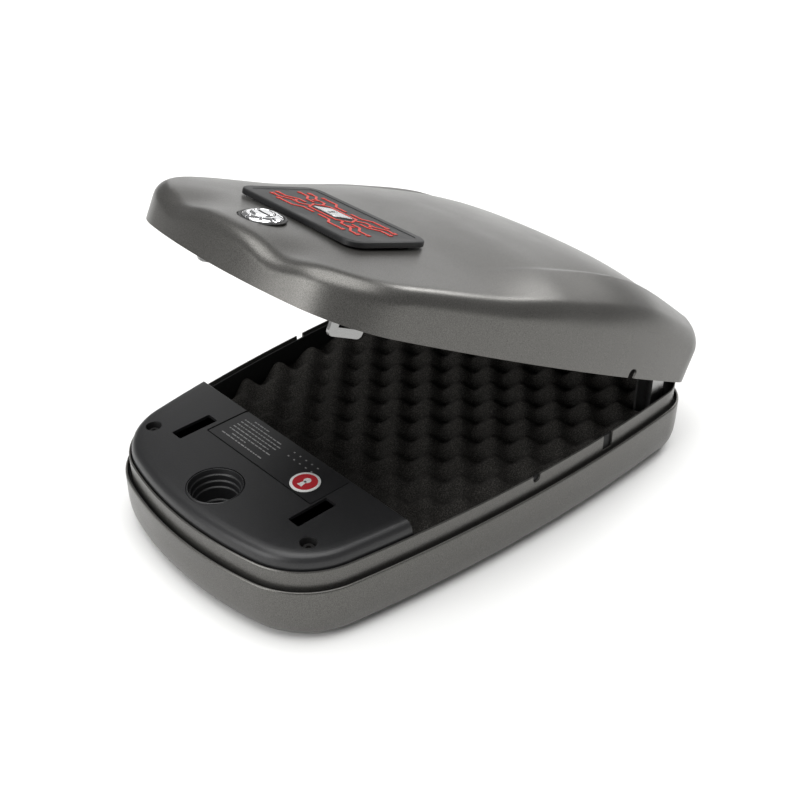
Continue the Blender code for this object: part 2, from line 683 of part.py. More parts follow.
def build_spring(name, start, end):
    # A close-wound wire around the pin between the knuckles
    turns, per_turn, wire, coil = 4, 8, 0.0006, 0.0027
    count = turns * per_turn
    rings = []
    for k in range(count + 1):
        angle = 2 * math.pi * k / per_turn
        x = start + wire + (end - start - 2 * wire) * k / count
        middle = Vector((x, HINGE_Y + coil * math.cos(angle), HINGE_Z + coil * math.sin(angle)))
        outward = Vector((0, math.cos(angle), math.sin(angle)))
        across = Vector((1, 0, 0))
        section = [2 * math.pi * j / 5 for j in range(5)]
        rings.append([tuple(middle + wire * (math.cos(s) * outward + math.sin(s) * across)) for s in section])
    loft(name, rings, INNER_STEEL)


# ---------------------------------------------------------------- lid
def build_lid(frame, pad_frame, lock_frame):
    outside = lid_rings(0.0, 0.0, LID_RIM)
    inside = lid_rings(LID_WALL, LID_WALL, LID_RIM)
    shell = loft("lid_shell", outside[::-1] + inside, PAINTED_STEEL, frame=frame)
    seat = rounded_rectangle(PAD_WIDTH + 0.0008, PAD_DEPTH + 0.0008, 0.0094, steps=5)
    cut(shell, prism("cut_pad_seat", seat, 0.0, 0.02, frame=pad_frame))
    hole = circle(LOCK_BARREL_RADIUS + GAP, sides=24)
    cut(shell, prism("cut_lock_hole", hole, -0.02, 0.01, frame=lock_frame))
    seat = circle(LOCK_BEZEL_RADIUS + GAP, sides=32)
    cut(shell, prism("cut_lock_seat", seat, -0.0006, 0.01, frame=lock_frame))
    reach = WIDTH / 2 + 0.01
    for side, tag in SIDES:
        across = sorted((side * 0.095, side * reach))
        notch = rounded_rectangle(0.0052, 0.0120, 0.0025, (0.0740, LID_RIM - 0.0005), 4)
        cut(shell, prism(f"cut_lid_notch_{tag}", notch, across[0], across[1], axis="X", frame=frame))


def build_lid_inside(frame, pad_frame):
    front = -0.0560
    profile = ((0.0084, LINER_Z), (0.0080, LINER_Z + 0.0003), (0.0080, LINER_Z + 0.0015))
    rings = [at_height(rear_ring(i, front), z) for i, z in profile]
    liner = loft("lid_liner", rings, BLACK_PLASTIC, frame=frame)
    foam_profile = ((0.0130, 0.0500), (0.0120, 0.0510), (0.0120, LINER_Z - GAP))
    rings = [at_height(rear_ring(i, front + 0.002), z) for i, z in foam_profile]
    foam = loft("lid_foam", rings, FOAM, frame=frame)
    for side, tag in SIDES:
        cut(liner, post_room(f"cut_lid_liner_{tag}", 0.04, 0.08, side, frame, 0.0030))
        cut(foam, post_room(f"cut_lid_foam_{tag}", 0.04, 0.08, side, frame, 0.0045))
    board = rounded_rectangle(0.070, 0.038, 0.002, steps=2)
    prism("reader_board", board, -0.0060, -0.0044, BOARD_GREEN, frame=pad_frame)


def build_pad(pad_frame):
    outline = rounded_rectangle(PAD_WIDTH, PAD_DEPTH, 0.0090, steps=5)
    inner = rounded_rectangle(PAD_WIDTH - 0.0030, PAD_DEPTH - 0.0030, 0.0075, steps=5)
    rings = [at_height(outline, GAP), at_height(outline, PAD_THICKNESS - 0.0012)]
    rings.append(at_height(inner, PAD_THICKNESS))
    loft("reader_pad", rings, RUBBER, frame=pad_frame)
    low = PAD_THICKNESS + 0.0001
    trace = rounded_rectangle(0.074, 0.030, 0.004, steps=2)
    traces = prism("pad_traces", trace, low, low + 0.0003, RED, frame=pad_frame)
    middle = rounded_rectangle(0.071, 0.027, 0.003, steps=2)
    cut(traces, prism("cut_traces", middle, 0, 0.01, frame=pad_frame))
    emblem = circle(0.0065, sides=6)
    prism("pad_emblem", emblem, low, low + 0.0004, SILVER, frame=pad_frame)


def build_lock(lock_frame, plug_frame):
    bezel = (
        (LOCK_BARREL_RADIUS, -0.0003),
        (LOCK_BEZEL_RADIUS, -0.0003),
        (LOCK_BEZEL_RADIUS, 0.0008),
        (0.0108, 0.0026),
        (LOCK_PLUG_RADIUS + 0.0024, 0.0026),
    )
    rim = turned("lock_bezel", bezel, CHROME, sides=32, frame=lock_frame)
    cut(rim, prism("cut_bezel", circle(LOCK_PLUG_RADIUS + GAP, sides=24), -0.02, 0.01, frame=lock_frame))
    barrel_low = -0.0190
    profile = ((LOCK_BARREL_RADIUS, barrel_low), (LOCK_BARREL_RADIUS, -0.0006))
    barrel = turned("lock_barrel", profile, INNER_STEEL, sides=24, frame=lock_frame)
    cut(barrel, prism("cut_barrel", circle(LOCK_PLUG_RADIUS + GAP, sides=24), -0.03, 0.01, frame=lock_frame))
    nut = prism("lock_nut", circle(0.0126, sides=6), -0.0062, -0.0032, INNER_STEEL, frame=lock_frame)
    cut(nut, prism("cut_nut", circle(LOCK_BARREL_RADIUS + GAP, sides=24), -0.02, 0.01, frame=lock_frame))
    plug_profile = ((LOCK_PLUG_RADIUS, barrel_low - 0.0010), (LOCK_PLUG_RADIUS, 0.0030), (0.0052, 0.0042))
    plug = turned("lock_plug", plug_profile, CHROME, sides=24, frame=plug_frame)
    cut(plug, box("cut_keyway", (-0.0042, -0.0009, -0.0100), (0.0042, 0.0009, 0.0100), frame=plug_frame))
    cam = [(0.0055, -0.0045), (0.0062, 0.0), (0.0045, 0.0050), (-0.0045, 0.0050), (-0.0062, 0.0)]
    cam += [(-0.0045, -0.0085), (-0.0020, -0.0104), (0.0020, -0.0104), (0.0045, -0.0085)]
    prism("lock_cam", cam, barrel_low - 0.0033, barrel_low - 0.0013, INNER_STEEL, frame=plug_frame)


# ---------------------------------------------------------------- assembly
def main():
    for old in list(bpy.data.objects):
        bpy.data.objects.remove(old, do_unlink=True)
    pivot = Vector((0, HINGE_Y, HINGE_Z))
    back = Matrix.Translation(-pivot)
    opened = Matrix.Rotation(math.radians(-LID_OPEN_DEG), 4, "X")
    lid = add_frame("lid_axis", Matrix.Translation(pivot) @ opened)
    SHUT_BASIS["lid_axis"] = back
    lean = Matrix.Rotation(math.radians(LOCK_LEAN_DEG), 4, "X")
    lock_spot = Matrix.Translation((0, LOCK_Y, lid_height(0, LOCK_Y)))
    lock = add_frame("lock_seat", back @ lock_spot @ lean, lid)
    plug = add_frame("lock_axis", Matrix(), lock)
    half = PAD_DEPTH / 2
    rise = (lid_height(0, PAD_Y + half) - lid_height(0, PAD_Y - half)) / PAD_DEPTH
    slope = Matrix.Rotation(math.atan(rise), 4, "X")
    pad_spot = Matrix.Translation((0, PAD_Y, (lid_height(0, PAD_Y + half) + lid_height(0, PAD_Y - half)) / 2))
    pad = add_frame("pad_plane", back @ pad_spot @ slope, lid)

    build_base_shell()
    build_collar()
    build_gasket()
    build_liner()
    build_base_foam()
    build_front_cover()
    build_cover_parts()
    build_latch()
    build_electronics()
    build_feet()
    build_posts()
    build_hinges(lid)
    build_lid(lid, pad, lock)
    build_lid_inside(lid, pad)
    build_hooks(lid)
    build_pad(pad)
    build_lock(lock, plug)


main()
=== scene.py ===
# Looks of a small pistol safe: painted shells, moulded cover, egg-crate foam, reader pad, key lock.
import json
import math
import random

import bmesh
import bpy
import numpy as np
from mathutils import Matrix, Vector


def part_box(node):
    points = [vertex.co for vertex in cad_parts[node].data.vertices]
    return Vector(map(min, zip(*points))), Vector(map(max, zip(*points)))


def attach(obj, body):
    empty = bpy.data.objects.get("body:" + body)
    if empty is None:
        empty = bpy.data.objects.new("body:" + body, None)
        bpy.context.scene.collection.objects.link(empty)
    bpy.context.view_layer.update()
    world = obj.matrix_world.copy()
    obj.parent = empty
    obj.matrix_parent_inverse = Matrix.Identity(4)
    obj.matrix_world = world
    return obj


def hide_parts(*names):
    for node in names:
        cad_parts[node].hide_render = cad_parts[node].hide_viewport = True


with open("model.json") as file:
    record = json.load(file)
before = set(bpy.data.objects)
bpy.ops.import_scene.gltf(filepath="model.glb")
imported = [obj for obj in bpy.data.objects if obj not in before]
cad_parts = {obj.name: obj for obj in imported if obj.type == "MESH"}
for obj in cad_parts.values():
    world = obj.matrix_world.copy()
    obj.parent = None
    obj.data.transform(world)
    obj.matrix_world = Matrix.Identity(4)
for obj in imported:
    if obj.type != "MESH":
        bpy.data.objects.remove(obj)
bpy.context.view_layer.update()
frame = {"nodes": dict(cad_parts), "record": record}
record = frame["record"]
hingeJoint = next(j for j in record["behaviour"]["joints"] if j["name"] == "lid_hinge")
print("frame loaded:", len(frame["nodes"]), "nodes")

# The plan of the safe: tangent arcs, narrower at the lock end
shellLow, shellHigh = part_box("base_shell")
safePlan = {
    "length": shellHigh[1] - shellLow[1],
    "width": shellHigh[0] - shellLow[0],
    "widestY": 0.074,
    "frontRadius": 0.239,
    "sideRadius": 1.033,
    "rearRadius": 2.338,
    "frontCorner": 0.0507,
    "rearCorner": 0.031,
    "steps": (40, 28, 84, 24, 40),  # along half the outline, about 2 mm each
    "frontSteps": (22, 40),  # a front bay's side, and its straight rear edge
    "rearSteps": (76, 44),  # a rear bay's side, and its straight front edge
}


def cornerCentre(a, reachA, b, reachB):
    gap = b - a
    span = math.hypot(*gap)
    along = (reachA**2 - reachB**2 + span**2) / (2 * span)
    across = math.sqrt(reachA**2 - along**2)
    unit = gap / span
    side = across * np.array((-unit[1], unit[0]))
    foot = a + along * unit
    return max(foot + side, foot - side, key=lambda p: p[0])


def planArcs(plan):
    front = np.array((0.0, plan["frontRadius"] - plan["length"] / 2))
    side = np.array((plan["width"] / 2 - plan["sideRadius"], plan["widestY"]))
    rear = np.array((0.0, plan["length"] / 2 - plan["rearRadius"]))
    nearCorner = cornerCentre(
        front, plan["frontRadius"] - plan["frontCorner"], side, plan["sideRadius"] - plan["frontCorner"]
    )
    farCorner = cornerCentre(
        rear, plan["rearRadius"] - plan["rearCorner"], side, plan["sideRadius"] - plan["rearCorner"]
    )

    def heading(p, q):
        return math.atan2(q[1] - p[1], q[0] - p[0])

    turns = [-math.pi / 2, heading(front, nearCorner), heading(side, nearCorner)]
    turns += [heading(side, farCorner), heading(rear, farCorner), math.pi / 2]
    centres = (front, nearCorner, side, farCorner, rear)
    radii = [plan[k] for k in ("frontRadius", "frontCorner", "sideRadius", "rearCorner", "rearRadius")]
    return [(centres[k], radii[k], turns[k], turns[k + 1]) for k in range(5)]


arcs = planArcs(safePlan)


def arcPoints(k, inset, steps, start=None, end=None):
    centre, radius, low, high = arcs[k]
    angles = np.linspace(low if start is None else start, high if end is None else end, steps + 1)
    reach = radius - inset
    return np.c_[centre[0] + reach * np.cos(angles), centre[1] + reach * np.sin(angles)]


def mirroredRing(half):
    # A half outline on +X becomes a closed ring, points on the middle line used once
    other = half[::-1] * (-1, 1)
    first = 1 if abs(half[-1][0]) < 1e-9 else 0
    last = -1 if abs(half[0][0]) < 1e-9 else None
    return np.vstack((half, other[first:last]))


def ring(inset):
    half = [arcPoints(0, inset, safePlan["steps"][0])]
    for k in range(1, 5):
        half.append(arcPoints(k, inset, safePlan["steps"][k])[1:])
    return mirroredRing(np.vstack(half))


def sideTurn(inset, y):
    return math.asin((y - arcs[2][0][1]) / (arcs[2][1] - inset))


def frontRing(inset, rearY):
    sideSteps, edgeSteps = safePlan["frontSteps"]
    half = [arcPoints(0, inset, safePlan["steps"][0]), arcPoints(1, inset, safePlan["steps"][1])[1:]]
    half.append(arcPoints(2, inset, sideSteps, end=sideTurn(inset, rearY))[1:])
    corner = half[-1][-1]
    across = np.linspace(corner[0], 0, edgeSteps)[1:]
    half.append(np.c_[across, np.full(len(across), corner[1])])
    return mirroredRing(np.vstack(half))


def rearRing(inset, frontY):
    sideSteps, edgeSteps = safePlan["rearSteps"]
    half = [arcPoints(2, inset, sideSteps, start=sideTurn(inset, frontY))]
    half += [arcPoints(k, inset, safePlan["steps"][k])[1:] for k in (3, 4)]
    corner = half[0][0]
    across = np.linspace(0, corner[0], edgeSteps)[:-1]
    half.insert(0, np.c_[across, np.full(len(across), corner[1])])
    return mirroredRing(np.vstack(half))


def at(points, z):
    return np.c_[points, np.full(len(points), z)]


# The lid is shaped shut and then turned open about its hinge
lidShape = {
    "crown": (  # (y, height) along the middle
        (-0.165, 0.0600), (-0.118, 0.0671), (-0.062, 0.0760),
        (0.0, 0.0887), (0.080, 0.0941), (0.165, 0.0802),
    ),
    "crossBend": 0.5,
    "sideFall": 0.0175,
    "sidePower": 4.0,
    "fallFrontY": -0.145,
    "fallFullY": 0.030,
    "railX": 0.0787,  # where the rail's inner edge crosses the middle of the lid
    "railSpread": 0.062,  # how far the rails part towards the rear
    "railStep": 0.0045,
    "railRise": 0.0030,
    "railFrontY": -0.060,
    "railFullY": 0.110,
    "scoopDepth": 0.0046,
    "scoopAt": (0.040, -0.158),
    "scoopReach": (0.017, 0.020),
    "edgeRadius": 0.0085,
    "rim": 0.0370,
    "inset": 0.0005,
    "wall": 0.0014,
}
hingePoint = Vector(hingeJoint["pos_m"])
openTurn = Matrix.Rotation(math.radians(hingeJoint["range_deg"][0]), 4, "X")
lidTurn = Matrix.Translation(hingePoint) @ openTurn @ Matrix.Translation(-hingePoint)


def smooth(low, high, value):
    t = np.clip((value - low) / (high - low), 0, 1)
    return t * t * (3 - 2 * t)


def lidCrown(y):
    stations = np.array(lidShape["crown"])
    places, heights = stations[:, 0], stations[:, 1]
    before = np.maximum(np.arange(len(places)) - 1, 0)
    after = np.minimum(np.arange(len(places)) + 1, len(places) - 1)
    slopes = (heights[after] - heights[before]) / (places[after] - places[before])
    k = np.clip(np.searchsorted(places, y) - 1, 0, len(places) - 2)
    span = places[k + 1] - places[k]
    t = np.clip((y - places[k]) / span, 0, 1)
    level = (2 * t**3 - 3 * t**2 + 1) * heights[k] + (3 * t**2 - 2 * t**3) * heights[k + 1]
    return level + span * ((t**3 - 2 * t**2 + t) * slopes[k] + (t**3 - t**2) * slopes[k + 1])


def lidHeight(x, y):
    x, y = np.abs(np.asarray(x, float)), np.asarray(y, float)
    side = lidShape["crossBend"] * x**2
    fall = lidShape["sideFall"] * smooth(lidShape["fallFrontY"], lidShape["fallFullY"], y)
    side = side + fall * (x / (safePlan["width"] / 2)) ** lidShape["sidePower"]
    rail = smooth(lidShape["railFrontY"], lidShape["railFullY"], y)
    railEdge = lidShape["railX"] + lidShape["railSpread"] * y
    rail = rail * smooth(railEdge - lidShape["railStep"], railEdge, x)
    (scoopX, scoopY), (reachX, reachY) = lidShape["scoopAt"], lidShape["scoopReach"]
    scoop = np.exp(-(((x - scoopX) / reachX) ** 2) - ((y - scoopY) / reachY) ** 2)
    return lidCrown(y) - side + lidShape["railRise"] * rail - lidShape["scoopDepth"] * scoop


def placedAt(spot, lean):
    # A frame on the lid's surface, opened with the lid
    return lidTurn @ Matrix.Translation(spot) @ Matrix.Rotation(lean, 4, "X")


padPlan = {"y": -0.0905, "width": 0.096, "depth": 0.057, "thickness": 0.0035, "corner": 0.0090}
padPlan |= {"frame": 0.0062, "panelDrop": 0.0006, "seatGap": 0.0010, "seatCorner": 0.0095}
padEnds = [float(lidHeight(0, padPlan["y"] + side * padPlan["depth"] / 2)) for side in (-1, 1)]
padLean = math.atan((padEnds[1] - padEnds[0]) / padPlan["depth"])
padFrame = placedAt((0, padPlan["y"], sum(padEnds) / 2), padLean)
lockPlan = {"y": -0.1375, "lean": math.radians(14), "bezel": 0.0128, "barrel": 0.0085, "plug": 0.0062}
lockFrame = placedAt((0, lockPlan["y"], float(lidHeight(0, lockPlan["y"]))), lockPlan["lean"])


# Meshes
def newObject(name, data):
    made = bpy.data.objects.new(name, data)
    bpy.context.collection.objects.link(made)
    return made


def meshPiece(name, points, faces, matrix=None, edges=()):
    mesh = bpy.data.meshes.new(name)
    mesh.from_pydata([tuple(map(float, p)) for p in points], list(edges), faces)
    if faces:
        work = bmesh.new()
        work.from_mesh(mesh)
        bmesh.ops.recalc_face_normals(work, faces=work.faces)
        work.to_mesh(mesh)
        work.free()
    if matrix is not None:
        mesh.transform(matrix)
    return newObject(name, mesh)


def loft(name, rings, loop=False, matrix=None):
    # Rings of equal length, bottom to top; the ends are capped, or joined to each other
    count, rows = len(rings[0]), len(rings)
    faces = []
    for r in range(rows if loop else rows - 1):
        a, b = r * count, (r + 1) % rows * count
        faces += [(a + k, a + (k + 1) % count, b + (k + 1) % count, b + k) for k in range(count)]
    if not loop:
        faces.append(tuple(range(count))[::-1])
        faces.append(tuple(range((rows - 1) * count, rows * count)))
    return meshPiece(name, np.vstack(rings), faces, matrix)


def circle(radius, centre=(0.0, 0.0), sides=48):
    turn = 2 * math.pi * np.arange(sides) / sides
    return np.c_[centre[0] + radius * np.cos(turn), centre[1] + radius * np.sin(turn)]


def roundedBox(width, depth, radius, centre=(0.0, 0.0), steps=8):
    points = []
    for quarter in range(4):
        signX = 1 if quarter in (0, 3) else -1
        signY = 1 if quarter in (0, 1) else -1
        middle = np.array(centre) + (signX * (width / 2 - radius), signY * (depth / 2 - radius))
        turn = (quarter + np.linspace(0, 1, steps + 1)) * math.pi / 2
        points.append(middle + radius * np.c_[np.cos(turn), np.sin(turn)])
    return np.vstack(points)


def prism(name, outline, low, high, axis="Z", matrix=None):
    rings = []
    for level in (low, high):
        flat = at(outline, level)
        rings.append({"X": flat[:, [2, 0, 1]], "Y": flat[:, [0, 2, 1]], "Z": flat}[axis])
    return loft(name, rings, matrix=matrix)


def throughWall(name, outline, side, matrix=None):
    # A cutter along X through one side wall
    low, high = sorted((side * 0.095, side * 0.125))
    return prism(name, outline, low, high, "X", matrix)


def turned(name, profile, centre=(0.0, 0.0), sides=64, matrix=None):
    return loft(name, [at(circle(radius, centre, sides), z) for radius, z in profile], matrix=matrix)


def roundedProfile(corners, radius, steps=5):
    # A profile's corners replaced by small arcs, so that edges catch the light
    corners = [np.array(c, float) for c in corners]
    out = [corners[0]]
    for before, corner, after in zip(corners, corners[1:], corners[2:]):
        reach = min(radius, 0.45 * math.dist(before, corner), 0.45 * math.dist(corner, after))
        start = corner + (before - corner) / math.dist(before, corner) * reach
        end = corner + (after - corner) / math.dist(after, corner) * reach
        for t in np.linspace(0, 1, steps):
            out.append((1 - t) ** 2 * start + 2 * t * (1 - t) * corner + t**2 * end)
    out.append(corners[-1])
    return out


def steppedProfile(profile, longest):
    # Long stretches of a profile in equal short steps
    out = [profile[0]]
    for before, after in zip(profile, profile[1:]):
        steps = max(1, math.ceil(math.dist(before, after) / longest))
        out += [before + (after - before) * k / steps for k in range(1, steps + 1)]
    return out


def settled(piece):
    # The piece's modifiers become its mesh
    bpy.context.view_layer.update()
    graph = bpy.context.evaluated_depsgraph_get()
    mesh = bpy.data.meshes.new_from_object(piece.evaluated_get(graph))
    piece.modifiers.clear()
    old, piece.data = piece.data, mesh
    bpy.data.meshes.remove(old)
    mesh.name = piece.name


def cutWith(piece, cutters):
    for cutter in cutters:
        change = piece.modifiers.new("cut", "BOOLEAN")
        change.operation = "DIFFERENCE"
        change.solver = "EXACT"
        change.object = cutter
        settled(piece)
        bpy.data.objects.remove(cutter)


def bevelled(piece, width, segments=2, angle=40):
    change = piece.modifiers.new("edges", "BEVEL")
    change.width = width
    change.segments = segments
    change.limit_method = "ANGLE"
    change.angle_limit = math.radians(angle)
    change.harden_normals = False
    settled(piece)


def finish(piece, look, body, replaced=(), sharp=32, evenLight=False):
    piece.data.materials.clear()
    piece.data.materials.append(look)
    piece.data.shade_smooth()
    piece.data.set_sharp_from_angle(angle=math.radians(sharp))
    if evenLight:  # large flat faces set the normals, not the small ones beside them
        change = piece.modifiers.new("evenLight", "WEIGHTED_NORMAL")
        change.keep_sharp = True
        settled(piece)
    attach(piece, body)
    if replaced:
        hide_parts(*replaced)
    return piece


# Geometry trees
def newTree(name, amounts):
    tree = bpy.data.node_groups.new(name, "GeometryNodeTree")
    tree.interface.new_socket("Geometry", in_out="INPUT", socket_type="NodeSocketGeometry")
    for label in amounts:
        tree.interface.new_socket(label, in_out="INPUT", socket_type="NodeSocketFloat")
    tree.interface.new_socket("Material", in_out="INPUT", socket_type="NodeSocketMaterial")
    tree.interface.new_socket("Geometry", in_out="OUTPUT", socket_type="NodeSocketGeometry")
    return tree, tree.nodes.new("NodeGroupInput"), tree.nodes.new("NodeGroupOutput")


def mathNode(tree, operation, first, second=None):
    node = tree.nodes.new("ShaderNodeMath")
    node.operation = operation
    for socket, value in zip(node.inputs, (first, second)):
        if isinstance(value, (int, float)):
            socket.default_value = value
        elif value is not None:
            tree.links.new(value, socket)
    return node.outputs[0]


def closeTree(tree, start, end, geometry):
    real = tree.nodes.new("GeometryNodeRealizeInstances")
    coat = tree.nodes.new("GeometryNodeSetMaterial")
    tree.links.new(geometry, real.inputs["Geometry"])
    tree.links.new(real.outputs["Geometry"], coat.inputs["Geometry"])
    tree.links.new(start.outputs["Material"], coat.inputs["Material"])
    tree.links.new(coat.outputs["Geometry"], end.inputs["Geometry"])
    return tree


def marked(tree, name):
    mark = tree.nodes.new("GeometryNodeInputNamedAttribute")
    mark.data_type = "FLOAT"
    mark.inputs["Name"].default_value = name
    return mark.outputs[0]


def sweptAlong(tree, path, section):
    sweep = tree.nodes.new("GeometryNodeCurveToMesh")
    sweep.inputs["Fill Caps"].default_value = True
    tree.links.new(path, sweep.inputs["Curve"])
    tree.links.new(section, sweep.inputs["Profile Curve"])
    return sweep.outputs[0]


def runTree(piece, tree, values):
    change = piece.modifiers.new(tree.name, "NODES")
    change.node_group = tree
    for item in tree.interface.items_tree:
        if item.in_out == "INPUT" and item.name in values:
            change[item.identifier] = values[item.name]
    settled(piece)


def eggCrateTree():
    # Points marked "swell" sink between peaks that stand in a chequered pattern
    tree, start, end = newTree("eggCrate", ("Pitch", "Depth"))
    place = tree.nodes.new("ShaderNodeSeparateXYZ")
    tree.links.new(tree.nodes.new("GeometryNodeInputPosition").outputs[0], place.inputs[0])
    wave = mathNode(tree, "DIVIDE", 2 * math.pi, start.outputs["Pitch"])
    alongX = mathNode(tree, "COSINE", mathNode(tree, "MULTIPLY", place.outputs[0], wave))
    alongY = mathNode(tree, "COSINE", mathNode(tree, "MULTIPLY", place.outputs[1], wave))
    sink = mathNode(tree, "SUBTRACT", mathNode(tree, "MULTIPLY", alongX, alongY), 1.0)
    sink = mathNode(tree, "MULTIPLY", mathNode(tree, "MULTIPLY", sink, 0.5), start.outputs["Depth"])
    sink = mathNode(tree, "MULTIPLY", sink, marked(tree, "swell"))
    offset = tree.nodes.new("ShaderNodeCombineXYZ")
    tree.links.new(sink, offset.inputs[2])
    move = tree.nodes.new("GeometryNodeSetPosition")
    tree.links.new(start.outputs["Geometry"], move.inputs["Geometry"])
    tree.links.new(offset.outputs[0], move.inputs["Offset"])
    return closeTree(tree, start, end, move.outputs[0])


def ribbonTree():
    # Every line of the mesh becomes a flat raised ribbon
    tree, start, end = newTree("ribbons", ("Width", "Height"))
    line = tree.nodes.new("GeometryNodeMeshToCurve")
    upright = tree.nodes.new("GeometryNodeSetCurveNormal")
    upright.mode = "Z_UP"
    section = tree.nodes.new("GeometryNodeCurvePrimitiveQuadrilateral")
    tree.links.new(start.outputs["Geometry"], line.inputs[0])
    tree.links.new(line.outputs[0], upright.inputs[0])
    tree.links.new(start.outputs["Width"], section.inputs["Width"])
    tree.links.new(start.outputs["Height"], section.inputs["Height"])
    return closeTree(tree, start, end, sweptAlong(tree, upright.outputs[0], section.outputs[0]))


def marksTree():
    # A small flat bar on every point, as long as the point says
    tree, start, end = newTree("printMarks", ("Height", "Raise"))
    bar = tree.nodes.new("GeometryNodeMeshCube")
    scale = tree.nodes.new("ShaderNodeCombineXYZ")
    tree.links.new(marked(tree, "markLength"), scale.inputs[0])
    tree.links.new(start.outputs["Height"], scale.inputs[1])
    tree.links.new(start.outputs["Raise"], scale.inputs[2])
    spread = tree.nodes.new("GeometryNodeInstanceOnPoints")
    tree.links.new(start.outputs["Geometry"], spread.inputs["Points"])
    tree.links.new(bar.outputs["Mesh"], spread.inputs["Instance"])
    tree.links.new(scale.outputs[0], spread.inputs["Scale"])
    return closeTree(tree, start, end, spread.outputs[0])


def coilTree():
    # A close-wound wire along +Z
    tree, start, end = newTree("coil", ("Turns", "Radius", "Length", "Wire"))
    spiral = tree.nodes.new("GeometryNodeCurveSpiral")
    spiral.inputs["Resolution"].default_value = 36
    tree.links.new(start.outputs["Turns"], spiral.inputs["Rotations"])
    tree.links.new(start.outputs["Radius"], spiral.inputs["Start Radius"])
    tree.links.new(start.outputs["Radius"], spiral.inputs["End Radius"])
    tree.links.new(start.outputs["Length"], spiral.inputs["Height"])
    section = tree.nodes.new("GeometryNodeCurvePrimitiveCircle")
    section.inputs["Resolution"].default_value = 12
    tree.links.new(start.outputs["Wire"], section.inputs["Radius"])
    return closeTree(tree, start, end, sweptAlong(tree, spiral.outputs[0], section.outputs[0]))


def markPoints(piece, name, values):
    attribute = piece.data.attributes.new(name, "FLOAT", "POINT")
    attribute.data.foreach_set("value", np.asarray(values, np.float32))


# Finishes
def shaderGroup(name, inputs, outputs):
    group = bpy.data.node_groups.new(name, "ShaderNodeTree")
    for label in inputs:
        group.interface.new_socket(label, in_out="INPUT", socket_type="NodeSocketFloat")
    for label in outputs:
        group.interface.new_socket(label, in_out="OUTPUT", socket_type="NodeSocketFloat")
    return group, group.nodes.new("NodeGroupInput"), group.nodes.new("NodeGroupOutput")


def noiseIn(group, scaleSocket, detail, rough=0.5, stretch=None):
    place = group.nodes.new("ShaderNodeTexCoord").outputs["Object"]
    if stretch:
        mapping = group.nodes.new("ShaderNodeMapping")
        mapping.inputs["Scale"].default_value = stretch
        group.links.new(place, mapping.inputs["Vector"])
        place = mapping.outputs["Vector"]
    noise = group.nodes.new("ShaderNodeTexNoise")
    noise.inputs["Detail"].default_value = detail
    noise.inputs["Roughness"].default_value = rough
    group.links.new(place, noise.inputs["Vector"])
    group.links.new(scaleSocket, noise.inputs["Scale"])
    return noise.outputs["Fac"]


def spreadOut(group, value, low, high):
    span = group.nodes.new("ShaderNodeMapRange")
    span.inputs["From Min"].default_value = low
    span.inputs["From Max"].default_value = high
    group.links.new(value, span.inputs["Value"])
    return span.outputs["Result"]


def grainGroup():
    # Fine grain of a powder coat or moulded skin, with slow cloudiness under it
    group, start, end = shaderGroup("fineGrain", ("Scale", "Cloud Scale"), ("Fleck", "Cloud", "Height"))
    fleck = spreadOut(group, noiseIn(group, start.outputs["Scale"], 2.0), 0.36, 0.66)
    cloud = spreadOut(group, noiseIn(group, start.outputs["Cloud Scale"], 3.0), 0.30, 0.70)
    half = mathNode(group, "MULTIPLY", start.outputs["Scale"], 0.55)
    height = noiseIn(group, half, 3.0, 0.6)
    group.links.new(fleck, end.inputs["Fleck"])
    group.links.new(cloud, end.inputs["Cloud"])
    group.links.new(height, end.inputs["Height"])
    return group


def brushGroup():
    # Fine drawn lines along X
    group, start, end = shaderGroup("drawnLines", ("Scale",), ("Lines", "Height"))
    lines = noiseIn(group, start.outputs["Scale"], 4.0, 0.65, (0.02, 1.0, 1.0))
    group.links.new(spreadOut(group, lines, 0.30, 0.70), end.inputs["Lines"])
    group.links.new(lines, end.inputs["Height"])
    return group


def poreGroup():
    # Open cells of foam: a bump that sinks their pits, and a mask that gives those pits a painted shade
    # colour
    group, start, end = shaderGroup("openCells", ("Scale",), ("PoreShadeMask", "Height"))
    place = group.nodes.new("ShaderNodeTexCoord").outputs["Object"]
    cells = group.nodes.new("ShaderNodeTexVoronoi")
    group.links.new(place, cells.inputs["Vector"])
    group.links.new(start.outputs["Scale"], cells.inputs["Scale"])
    group.links.new(spreadOut(group, cells.outputs["Distance"], 0.15, 0.75), end.inputs["PoreShadeMask"])
    group.links.new(cells.outputs["Distance"], end.inputs["Height"])
    return group


grain, drawn, cellsOfFoam = grainGroup(), brushGroup(), poreGroup()


def newLook(name, roughness, metallic=0.0, **sockets):
    look = bpy.data.materials.new(name)
    look.use_nodes = True
    shader = look.node_tree.nodes["Principled BSDF"]
    shader.inputs["Roughness"].default_value = roughness
    shader.inputs["Metallic"].default_value = metallic
    for label, value in sockets.items():
        shader.inputs[label.replace("_", " ")].default_value = value
    return look, look.node_tree, shader


def useGroup(tree, group, **values):
    node = tree.nodes.new("ShaderNodeGroup")
    node.node_tree = group
    for label, value in values.items():
        node.inputs[label.replace("_", " ")].default_value = value
    return node


def blendColour(tree, factor, first, second):
    mix = tree.nodes.new("ShaderNodeMix")
    mix.data_type = "RGBA"
    tree.links.new(factor, mix.inputs["Factor"])
    for socket, value in ((mix.inputs["A"], first), (mix.inputs["B"], second)):
        if isinstance(value, tuple):
            socket.default_value = (*value, 1)
        else:
            tree.links.new(value, socket)
    return mix.outputs["Result"]


def rangeOf(tree, factor, low, high):
    span = tree.nodes.new("ShaderNodeMapRange")
    span.inputs["To Min"].default_value = low
    span.inputs["To Max"].default_value = high
    tree.links.new(factor, span.inputs["Value"])
    return span.outputs["Result"]


